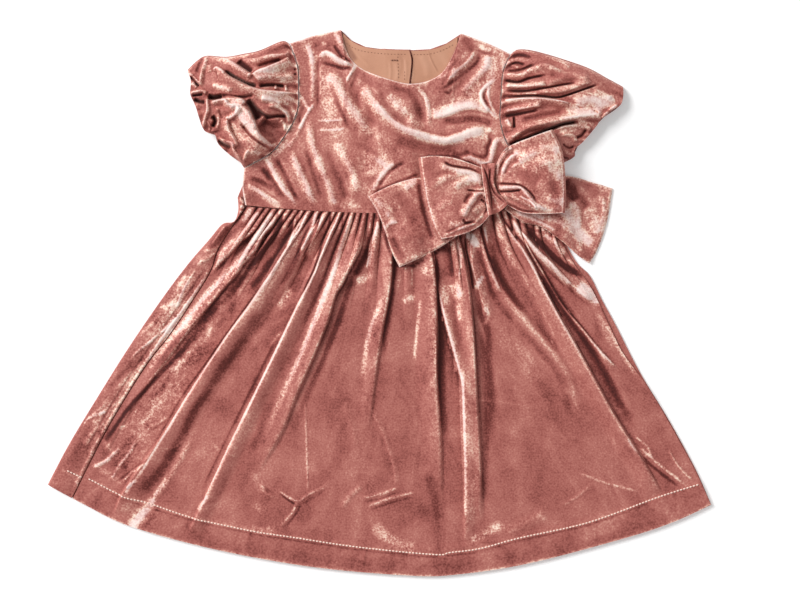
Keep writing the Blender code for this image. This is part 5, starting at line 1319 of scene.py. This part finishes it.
def makeSleeve(side):
    plan, own = sleeves, sleeves[side]
    hole, upper, cuff = (np.reshape(line, (-1, 2)) for line in
                         (outline["armhole" + side.capitalize()], own["upper"], own["cuff"]))
    ways = np.gradient(hole, axis=0)
    ways /= np.linalg.norm(ways, axis=1)[:, None]
    gap = plan["gap"] if side == "left" else -plan["gap"]
    armhole = hole + np.stack((ways[:, 1], -ways[:, 0]), -1) * gap
    sheet = panel(Edge(armhole), Edge(cuff), Edge(np.vstack((armhole[0], upper))),
                  Edge(np.vstack((armhole[-1], cuff[-1]))))
    v = steps(*plan["rows"])
    chord = np.linalg.norm(sheet(np.ones(len(v)), v) - sheet(np.zeros(len(v)), v), axis=1)
    inset, rim = plan["rimIn"] / chord, plan["rimOut"] / chord

    def across(s, vv, away):
        # places from one side to the other, each kept a little way in from both
        return sheet(away[:, None] + s * (1 - 2 * away[:, None]), vv)

    s, vv = np.meshgrid(np.linspace(0, 1, plan["topColumns"] + 1), v)
    place = across(s, vv, rim)
    drawnIn = 1 - plan["drawnIn"] * ease((vv - plan["drawnFrom"]) / (1 - plan["drawnFrom"]))
    swell = plan["low"] + (own["puff"] - plan["low"]) * ease(vv / plan["swellReach"]) * drawnIn
    atCuff = ease((vv - plan["cuffFrom"]) / (1 - plan["cuffFrom"]))
    sewn = 1 - ease(vv / own["reach"]) + plan["cuffShare"] * atCuff
    uneven = s + wave(*plan["wander"], s) + vv * wave(*plan["spread"], s)
    ripple = np.cos(math.tau * plan["gathers"] * uneven) * (1 + wave(*plan["vary"], s)) * sewn
    pressed, pale = press(place, own["creases"])
    pressed *= plan["creaseHigh"] * ease(vv / plan["creaseReach"] + plan["creaseStart"])
    z = plan["rim"] + np.maximum(arched(s) * (swell + own["gather"] * ripple + pressed), 0)
    innerZ = np.minimum(hangUnder(place, z, plan["innerLow"]), z - wall["least"])
    # painted highlights on the gathers' crests, and painted shade in their dips and where they are sewn in
    napAndLight = pale + own["lift"] + plan["gatherPale"] * ripple - plan["gatherDark"] * sewn
    apart = np.maximum(np.linalg.norm(np.gradient(place, axis=1), axis=-1), plan["closest"])
    # painted light by slope and relief
    napAndLight += litBySlope(plan["steep"], np.gradient(z, axis=1) / apart) + raised(z, plan["heights"])
    # a painted highlight along the armhole
    napAndLight += plan["rimPale"] * glint(vv, plan["rimGlint"])
    outer, inner = [stack(place, z)], [stack(across(s, vv, inset), innerZ)]

    def turn(edge, marks):
        # round a rim, with marks from 0 at its top to 1 on the floor
        at, near = sheet(np.full(len(v), float(edge)), v), sheet(np.abs(edge - rim), v)
        within = sheet(np.abs(edge - inset), v)
        for t in marks:
            high = plan["rim"] * (0.5 + 0.5 * math.cos(math.pi * t))
            low = wall["thick"] + (plan["innerLow"] - wall["thick"]) * (1 - t)
            outer.append(stack(near + (at - near) * math.sin(math.pi * t), np.full(len(v), high))[:, None])
            inner.append(stack(within, np.full(len(v), low))[:, None])

    marks = np.arange(1, plan["rimColumns"] + 1) / (plan["rimColumns"] + 1)
    turn(1, marks)
    s, vv = np.meshgrid(np.linspace(1, 0, plan["lowColumns"] + 1), v)
    outer.append(stack(across(s, vv, rim), np.zeros(s.shape)))
    inner.append(stack(across(s, vv, inset), np.full(s.shape, wall["thick"])))
    turn(0, 1 - marks)
    outer, inner = np.concatenate(outer, 1), np.concatenate(inner, 1)
    full = np.zeros(outer.shape[:2])
    full[:, :napAndLight.shape[1]] = napAndLight
    if side == "right":
        outer, inner, full = outer[:, ::-1], inner[:, ::-1], full[:, ::-1]
    piece = shell(f"sleeve_{side}_puff", outer, inner, full, rose, tube=True)
    return dress(piece, f"sleeve_{side}")


for side in ("left", "right"):
    makeSleeve(side)

# ---- bow

tails = dict(
    left=dict(
        top=(-10, 95.5, 12, 106, 34.5, 112, 62, 114),
        bottom=(18, 32, 40, 42, 58, 52, 78, 66),
        left=(-10, 95.5, -2, 82, 4.5, 66, 11, 46, 18, 32),
        right=(62, 114, 72, 92, 78, 66), flat=(0.09, 0.075), area=0.0058, lift=0.4,
        creases=(
            ((372, 198, 386, 207, 394, 226), (6, 7), 0.5, 0.9),
            ((384, 229, 390, 224, 398, 222), (3, 4), 0.6, 1),
            ((398, 192, 408, 206, 414, 228), 10, -0.4, -0.7),
            ((396, 240, 410, 236, 424, 240), 8, -0.3, 0.8),
            ((404, 190, 412, 184, 418, 180), (6, 8), 0.7, 0.8),
            ((404, 262, 414, 258, 424, 252), 4, 0.3, 0.6), ((391, 236, 397, 250, 404, 260), 6, -1),
            ((376, 204, 384, 214, 390, 216), 6, 0.4, 0.6),
            # a painted shadow of the left loop along its edge, over a shallow trough
            ((418, 178, 421, 200, 428, 226, 433, 240), (4, 3), -1, -0.6),
        ),
    ),
    right=dict(
        top=(118, 110, 165, 114.5, 193, 108, 209.7, 103),
        bottom=(112, 84, 128.7, 72.3, 144.5, 68.4, 164, 55, 178, 42.8, 188.5, 35.6),
        left=(118, 110, 114, 97, 112, 84),
        right=(209.7, 103, 204.3, 72, 195.8, 47.7, 188.5, 35.6), flat=(0.1, 0.075), area=0.0060, lift=0.42,
        creases=(
            ((567, 200, 576, 208, 579, 218, 577, 230), (6, 4), 0.7, 0.9),
            ((563, 181, 570, 190, 575, 202), (11, 12), -1.4, -1.2),
            ((578, 181, 590, 188, 596, 198), 7, -0.6),
            ((584, 208, 594, 218, 600, 234), (12, 11), (0, 0.6, 0.8), 0.9),
            ((565, 209, 571, 222, 581, 236, 592, 245), (8, 10), (1, 1.1, 1.4, 1.1)),
            ((580, 197, 588, 208), 6, -0.8), ((559, 246, 571, 254, 582, 259), 4, -1.2),
            ((516, 209, 530, 214, 545, 220), 5, 1.1), ((556, 207, 563, 216), 6, 0.8),
            ((600, 196, 604, 210, 602, 226), (4, 5), 0.4, 0.8),
            ((515, 219, 535, 228, 553, 236, 562, 241, 576, 255), (4, 5), -0.5, 1),
            ((514, 213, 535, 221, 556, 232), 3, 0.8, 0.8), ((545, 218, 558, 222, 566, 228), 6, 0.6, 0.6),
            ((566, 226, 577, 240, 581, 252), (5, 4), 0.4, 0.7),
            ((578, 250, 586, 256, 590, 260), 4, -0.7, 0.8), ((594, 184, 598, 194), 4, -0.5, 0.6),
        ),
    ),
)
loops = dict(
    left=dict(
        upper=(93.5, 120, 82, 124.5, 66, 129.5, 48, 131.4, 34.6, 129.6),
        lower=(98.5, 78.5, 88, 67.5, 70, 60, 52.7, 56.7),
        outer=(34.6, 129.6, 37, 110, 40, 91, 46, 70, 52.7, 56.7),
        inner=(93.5, 120, 94.5, 100, 98.5, 78.5), puff=5.0, flat=(0.14, 0.07), area=0.0088, lift=0.25,
        creases=(
            ((444, 163, 450, 166.5, 460, 168.5, 470, 170, 481, 175), 2.2, -1.1, -2),
            ((439, 165, 448, 169.5, 460, 172, 472, 174, 482, 179), (5, 4), 0.7, 1.8),
            ((436, 176, 446, 174, 456, 175), 5, -0.4, -0.8),
            ((431, 188, 440, 182, 448, 178, 464, 175, 474, 177, 483, 182), (6, 7), 0.6, 1),
            ((452, 188, 462, 183, 473, 181, 483, 184), (7, 6), 0.7, 2), ((466, 180, 478, 181), 4, 0.5),
            ((466, 191, 475, 192, 485, 192), 1.8, -0.9, -2),
            ((464, 205, 467, 198, 473, 194), (4, 3), -0.9, -1.6),
            ((463, 219, 466, 211, 472, 202, 477, 195, 483, 194, 485, 198), (4, 8), (0.8, 0.9, 0.7),
             (2.5, 4, 3.5)),
            ((472, 214, 479, 208, 485, 205), 6, 0.2, 2), ((480, 200, 484, 203), 2, -0.9, -2),
            ((486, 202, 486.5, 209, 483, 216), 1.8, -0.8, -1.2),
            ((462, 220, 466, 224, 476, 222), 2.4, -0.9, -1.8),
            ((448, 224, 456, 226, 464, 226), 6, 0.7, 0.8), ((437, 212, 444, 204, 452, 203), 5, 0.3, 0.7),
            ((424, 164, 430, 176, 434, 190), 7, -0.3, 0.6),
            ((441, 238, 456, 231, 472, 225, 486, 212), (1.8, 3), 0.6, 0.8),
            ((445, 234, 458, 228, 472, 221), 2, -0.6, -0.8), ((424, 180, 428, 204, 436, 230), 5, 0.5, 0.6),
        ),
    ),
    right=dict(
        upper=(104, 123, 113, 138, 134.5, 147, 154, 154),
        lower=(113, 88, 128, 80.5, 148, 79.5, 166, 80.5),
        outer=(154, 154, 161, 141, 165, 124, 167, 100, 166, 80.5),
        inner=(104, 123, 104.5, 106, 113, 88), puff=5.0, flat=(0.14, 0.08), area=0.0092, lift=0.42,
        creases=(
            ((495, 176, 498, 164, 505, 153, 512, 149), (3.4, 3), 0.7, 2.2),
            ((498, 178, 501, 166, 508, 157, 513, 154), 2, -0.8, -1.5),
            ((500, 175, 504, 166, 510, 158, 520, 154), 4, 0.7, 1.6),
            ((504, 176, 509, 167, 517, 161), 3, -0.5, -1.4),
            ((497, 180, 505, 172, 523, 159, 537, 152), (6, 8), 0.6, 1.4),
            ((517, 160, 522, 167, 525, 172), 2, 0.2, 0.5), ((514, 174, 526, 178, 538, 184), 9, -0.5, -0.9),
            ((530, 175, 541, 165, 556, 163), (7, 8), 0.5, 0.8), ((545, 168, 553, 174, 558, 182), 6, 0.7),
            ((503, 163, 510, 157, 517, 151), 4, 0.8), ((520, 168, 530, 160, 545, 156), 7, 0.4),
            ((536, 148, 548, 150, 556, 156), 7, 0.6, 0.6), ((548, 182, 552, 192, 550, 200), 7, -0.4, -0.6),
            ((496, 184.5, 508, 185, 520, 187, 530, 195, 535, 203), (1.8, 2), -1, -1.8),
            ((497, 188, 508, 188.5, 519, 189, 526, 196, 534, 205, 546, 212), (3.4, 3), (0.9, 0.9, 0.8, 0.5),
             2.2),
            ((498, 192.5, 510, 192.5, 520, 191), 1.8, -1.3, -2.2),
            ((500, 195, 510, 198, 522, 203, 531, 208, 543, 212), (4, 5), 0.3, 3.2),
            ((518, 197, 529, 203, 535, 210), 2, 1, 1.6),
            ((506, 204, 514, 208, 523, 212, 536, 213), 2, -0.7, -1.4),
            ((546, 196, 556, 202, 562, 204), 8, 0.8, 0.8),
            ((552, 140, 556, 160, 560, 185, 562, 205), (6, 3), 0.4, 0.8),
            ((536, 205, 548, 210, 560, 209), 4, 0.5, 0.8),
        ),
    ),
)
bow = dict(
    # tails: columns, rows, size, thickness and how it rounds to the edge, the stitched groove, the nap with
    # painted light by slope and relief and a painted highlight along the edge
    tailColumns=((0.03, 4), (0.97, 84), (1.0, 4)), tailRows=((0.03, 4), (0.97, 64), (1.0, 4)),
    tailSize=(90, 65), tailThick=2.6, tailEdge=0.45, tailRound=2.2, tailStart=0.05,
    grooveDeep=0.35, grooveIn=3.2, grooveWide=0.9, tailDeepest=-0.9, tailHold=5,
    smooth=8, tailSteep=0.2, edgePale=1.3, tailGlint=0.9,
    # loops: columns and rows, wall and space, where the solid is read, the swell, the nap with painted
    # highlights along the ends and the bend, the pale turn, and painted light by relief
    topColumns=124, turnColumns=12, lowColumns=24, loopRows=118, loopWall=1.6, loopSpace=2.6, loopLong=70,
    readAlong=(0.02, 0.96), readDown=(0.015, 0.985), swellEnd=0.86, swellPower=0.8, swellFrom=0.12,
    loopDeepest=-3.2, loopHold=4, loopStart=0.25, knotHold=6, loopGlint=0.8, bendPale=0.9, bendGlint=0.6,
    turnPale=0.4, turnPaleColumns=4, heights=((40, 0.3, -0.6, 0.4), (4, 0.8, -0.7, 0.5)),
)
knot = dict(
    top=(90.5, 124, 97, 125, 104, 124.5), bottom=(97, 78, 105, 80.5, 111, 84.5, 114.5, 88.5),
    left=(90.5, 124, 93, 103, 97, 78), right=(104, 124.5, 102.3, 108, 105.5, 100.5, 110, 93.5, 114.5, 88.5),
    flat=(0.028, 0.052), area=0.0012, columns=61, rows=91, readIn=0.02, smooth=30,
    # the band's edge, arch and hold; its lift, painted light by slope, and a painted highlight along its
    # sides
    edge=0.9, arch=2.4, least=0.2, hold=8, lift=0.05, steep=0.3, wide=12, glint=0.5,
    pleats=(
        ((483, 168, 486.5, 178, 489, 188, 490.5, 198, 491.5, 212), 1.5, -1.1, -1.6),
        ((490.5, 168, 489, 178, 491, 188, 496.5, 197, 504, 204), 1.5, -1.1, -1.6),
        ((487, 168, 487.5, 176), 1.5, 0.5, 0.8), ((485, 182, 486.5, 194, 488.5, 210), 1.6, 0.6, 0.8),
        ((492, 196, 495, 203, 498, 209), 2.4, 0.5, 0.8), ((491.5, 176, 493, 186, 500, 196), 1.6, 0.6, 0.6),
        ((491, 211, 498, 208, 504, 204), 1.2, 0.7, 0.3),
    ),
)


def makeTail(side):
    plan, own = bow, tails[side]
    sheet = panel(*(Edge(own[name]) for name in ("top", "bottom", "left", "right")))
    u, v = np.meshgrid(steps(*plan["tailColumns"]), steps(*plan["tailRows"]))
    place = sheet(u, v)
    low = soften(solidHeight(f"bow_tail_{side}", place, below=True), plan["smooth"])
    high, pale = press(place, own["creases"])
    edge = np.minimum(inward(u) * plan["tailSize"][0], inward(v) * plan["tailSize"][1])
    full = plan["tailEdge"] + (1 - plan["tailEdge"]) * ease(edge / plan["tailRound"] + plan["tailStart"])
    z = low + plan["tailThick"] * full
    z -= plan["grooveDeep"] * glint(edge - plan["grooveIn"], plan["grooveWide"])
    z += np.maximum(high, plan["tailDeepest"]) * ease(edge / plan["tailHold"])
    # painted light by slope and relief, and a painted highlight along the edges
    napAndLight = pale + own["lift"] + litByForm(place, z, plan["tailSteep"])
    napAndLight += plan["edgePale"] * glint(edge, plan["tailGlint"])
    piece = shell(f"bow_end_{side}", stack(place, z), stack(place, low), napAndLight, rose)
    return dress(piece, f"bow_tail_{side}")


def makeLoop(side):
    plan, own = bow, loops[side]
    sheet = panel(*(Edge(own[name]) for name in ("upper", "lower", "inner", "outer")))
    thick, turn = plan["loopWall"], plan["loopWall"] + 0.5 * plan["loopSpace"]
    v = np.linspace(0, 1, plan["loopRows"])
    width = np.linalg.norm(sheet(np.ones(len(v)), v) - sheet(np.zeros(len(v)), v), axis=1)[:, None]
    reach = 1 - turn / width
    t, vv = np.meshgrid(np.linspace(0, 1, plan["topColumns"] + 1), v)
    along = t * reach
    place = sheet(along, vv)
    start, stop = plan["readAlong"]
    probe = sheet(np.clip(along, start, stop * reach), np.clip(vv, *plan["readDown"]))
    low = soften(solidHeight(f"bow_loop_{side}", probe, below=True), plan["smooth"])
    pressed, pale = press(place, own["creases"])
    swell = np.sin(math.pi * plan["swellEnd"] * t) ** plan["swellPower"]
    swell *= np.sin(math.pi * (plan["swellFrom"] + (1 - 2 * plan["swellFrom"]) * vv))
    ends = inward(vv) * plan["loopLong"]
    pressed = np.maximum(pressed, plan["loopDeepest"]) * ease(plan["knotHold"] * (1 - along))
    z = low + 2 * turn + own["puff"] * swell + pressed * ease(ends / plan["loopHold"] + plan["loopStart"])
    # painted light by relief, and painted highlights along the ends and along the bend
    napAndLight = pale + own["lift"] + raised(z, plan["heights"])
    napAndLight += plan["edgePale"] * glint(ends, plan["loopGlint"])
    napAndLight += plan["bendPale"] * glint((1 - t) * width, plan["bendGlint"])
    outer, inner = [stack(place, z)], [stack(place, hangUnder(place, z, low + thick + wall["seam"], thick))]
    at, end = sheet(reach[:, 0], v), sheet(np.ones(len(v)), v)
    way = (end - at) / np.linalg.norm(end - at, axis=1)[:, None]
    middle, top = low[:, -1] + turn, z[:, -1]
    for step in range(1, plan["turnColumns"]):
        angle = math.pi * step / plan["turnColumns"]
        rise = np.where(math.cos(angle) > 0, top - middle, turn)
        for wallSide, less in ((outer, 0), (inner, thick)):
            wallSide.append(stack(at + way * (turn - less) * math.sin(angle),
                                  middle + (rise - less) * math.cos(angle))[:, None])
    columns = np.round(np.linspace(plan["topColumns"], 0, plan["lowColumns"] + 1)).astype(int)
    outer.append(stack(place[:, columns], low[:, columns]))
    inner.append(stack(place[:, columns], low[:, columns] + thick))
    outer, inner = np.concatenate(outer, 1), np.concatenate(inner, 1)
    full = np.zeros(outer.shape[:2])
    first = napAndLight.shape[1]
    full[:, :first], full[:, first:first + plan["turnPaleColumns"]] = napAndLight, plan["turnPale"]
    if side == "left":
        outer, inner, full = outer[:, ::-1], inner[:, ::-1], full[:, ::-1]
    piece = shell(f"bow_half_{side}", outer, inner, full, rose)
    return dress(piece, f"bow_loop_{side}")


def makeKnot():
    plan = knot
    sheet = panel(*(Edge(plan[name]) for name in ("top", "bottom", "left", "right")))
    u, v = np.meshgrid(np.linspace(0, 1, plan["columns"]), np.linspace(0, 1, plan["rows"]))
    place = sheet(u, v)
    probe = sheet(*(np.clip(share, plan["readIn"], 1 - plan["readIn"]) for share in (u, v)))
    low = soften(solidHeight("bow_knot", probe, below=True), plan["smooth"])
    high, pale = press(place, plan["pleats"])
    arch = plan["arch"] * arched(u) + high * ease(plan["hold"] * v * (1 - v))
    z = low + plan["edge"] + np.maximum(arch, plan["least"])
    # painted light by slope, and a painted highlight along the sides
    napAndLight = pale + plan["lift"] + litBySlope(plan["steep"], slopeOf(place, z))
    napAndLight += glint(inward(u) * plan["wide"], plan["glint"])
    piece = shell("bow_band", stack(place, z), stack(place, low), napAndLight, rose)
    return dress(piece, "bow_knot")


for side in ("left", "right"):
    makeTail(side)
for side in ("left", "right"):
    makeLoop(side)
makeKnot()

# ---- stitches

# a stitch's width along it, the corners round it, where a row starts in mm, how far it stands up, and the
# degrees that make an edge sharp
stitch = dict(shares=(0.35, 0.9, 1.0, 0.9, 0.35), corners=6, start=0.2, raised=0.6, sharp=60)
stitches = dict(
    # every row: what it is sewn on, slot, stitch and gap in mm, half width, how far it sinks, where it runs
    hem_stitches=(("skirt_front", "skirt_back"), "velvet", 2.4, 0.6, 0.75, 0.1, (
        (68, 470, 76, 474, 83, 477), (89, 478.5, *hemLine))),
    neck_stitches=(("lining_left", "lining_right"), "lining", 1.5, 1.5, 0.3, 0.05, (
        (346, 43.5, 352.5, 48, 364, 52, 384, 54.6, 407, 55.2), (413, 55.2, 430, 54.4, 444, 50, 455, 44),
        (397.6, 57, 398, 66, 398.4, 80), (404.6, 72, 404.4, 81))),
    placket_bar=(("lining_left",), "lining", 2.2, 0.0, 0.7, 0.0, ((390.5, 61.2, 395, 61, 400, 61.4),)),
)


def makeStitches(name):
    cloths, slot, long, gap, wide, sunk, lines = stitches[name]
    shares, corners = stitch["shares"], stitch["corners"]
    bm = bmesh.new()
    for cloth in cloths:
        bm.from_mesh(bpy.data.objects[cloth].data)
    under = bpy.data.meshes.new("under " + name)
    bm.to_mesh(under)
    places, faces = [], []
    for points in lines:
        line = curve(onMat(points))
        lengths = lengthsOf(line)
        for start in np.arange(stitch["start"], lengths[-1] - long, long + gap):
            spots = spotsOn(line, lengths, start + long * np.linspace(0, 1, len(shares)))
            way = (spots[-1] - spots[0]) / np.linalg.norm(spots[-1] - spots[0])
            across = np.array((-way[1], way[0]))
            first = len(places)
            for spot, top, share in zip(spots, heightOver(under, spots), shares):
                for angle in math.tau * np.arange(corners) / corners:
                    x, y = spot + across * wide * share * math.cos(angle)
                    high = top - sunk + wide * share * (math.sin(angle) + stitch["raised"])
                    places.append((x / 1000, y / 1000, high / 1000))
            last = first + corners * (len(shares) - 1)
            for ring in range(first, last, corners):
                for corner in range(corners):
                    a, b = ring + corner, ring + (corner + 1) % corners
                    faces.append((a, b, b + corners, a + corners))
            faces += [tuple(range(first + corners - 1, first - 1, -1)), tuple(range(last, last + corners))]
    bpy.data.meshes.remove(under)
    mesh = bpy.data.meshes.new(name)
    mesh.from_pydata(places, [], faces)
    bm.clear()
    bm.from_mesh(mesh)
    bmesh.ops.recalc_face_normals(bm, faces=bm.faces)
    bm.to_mesh(mesh)
    bm.free()
    dress(finished(name, mesh, thread if slot == "velvet" else peachThread, stitch["sharp"]), None)


for name in stitches:
    makeStitches(name)

# ---- buttons keep their solids' form

for index in (1, 2, 3):
    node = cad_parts[f"back_button_{index}"]
    node.data.materials.clear()
    node.data.materials.append(buttonRose)
print("buttons finished")
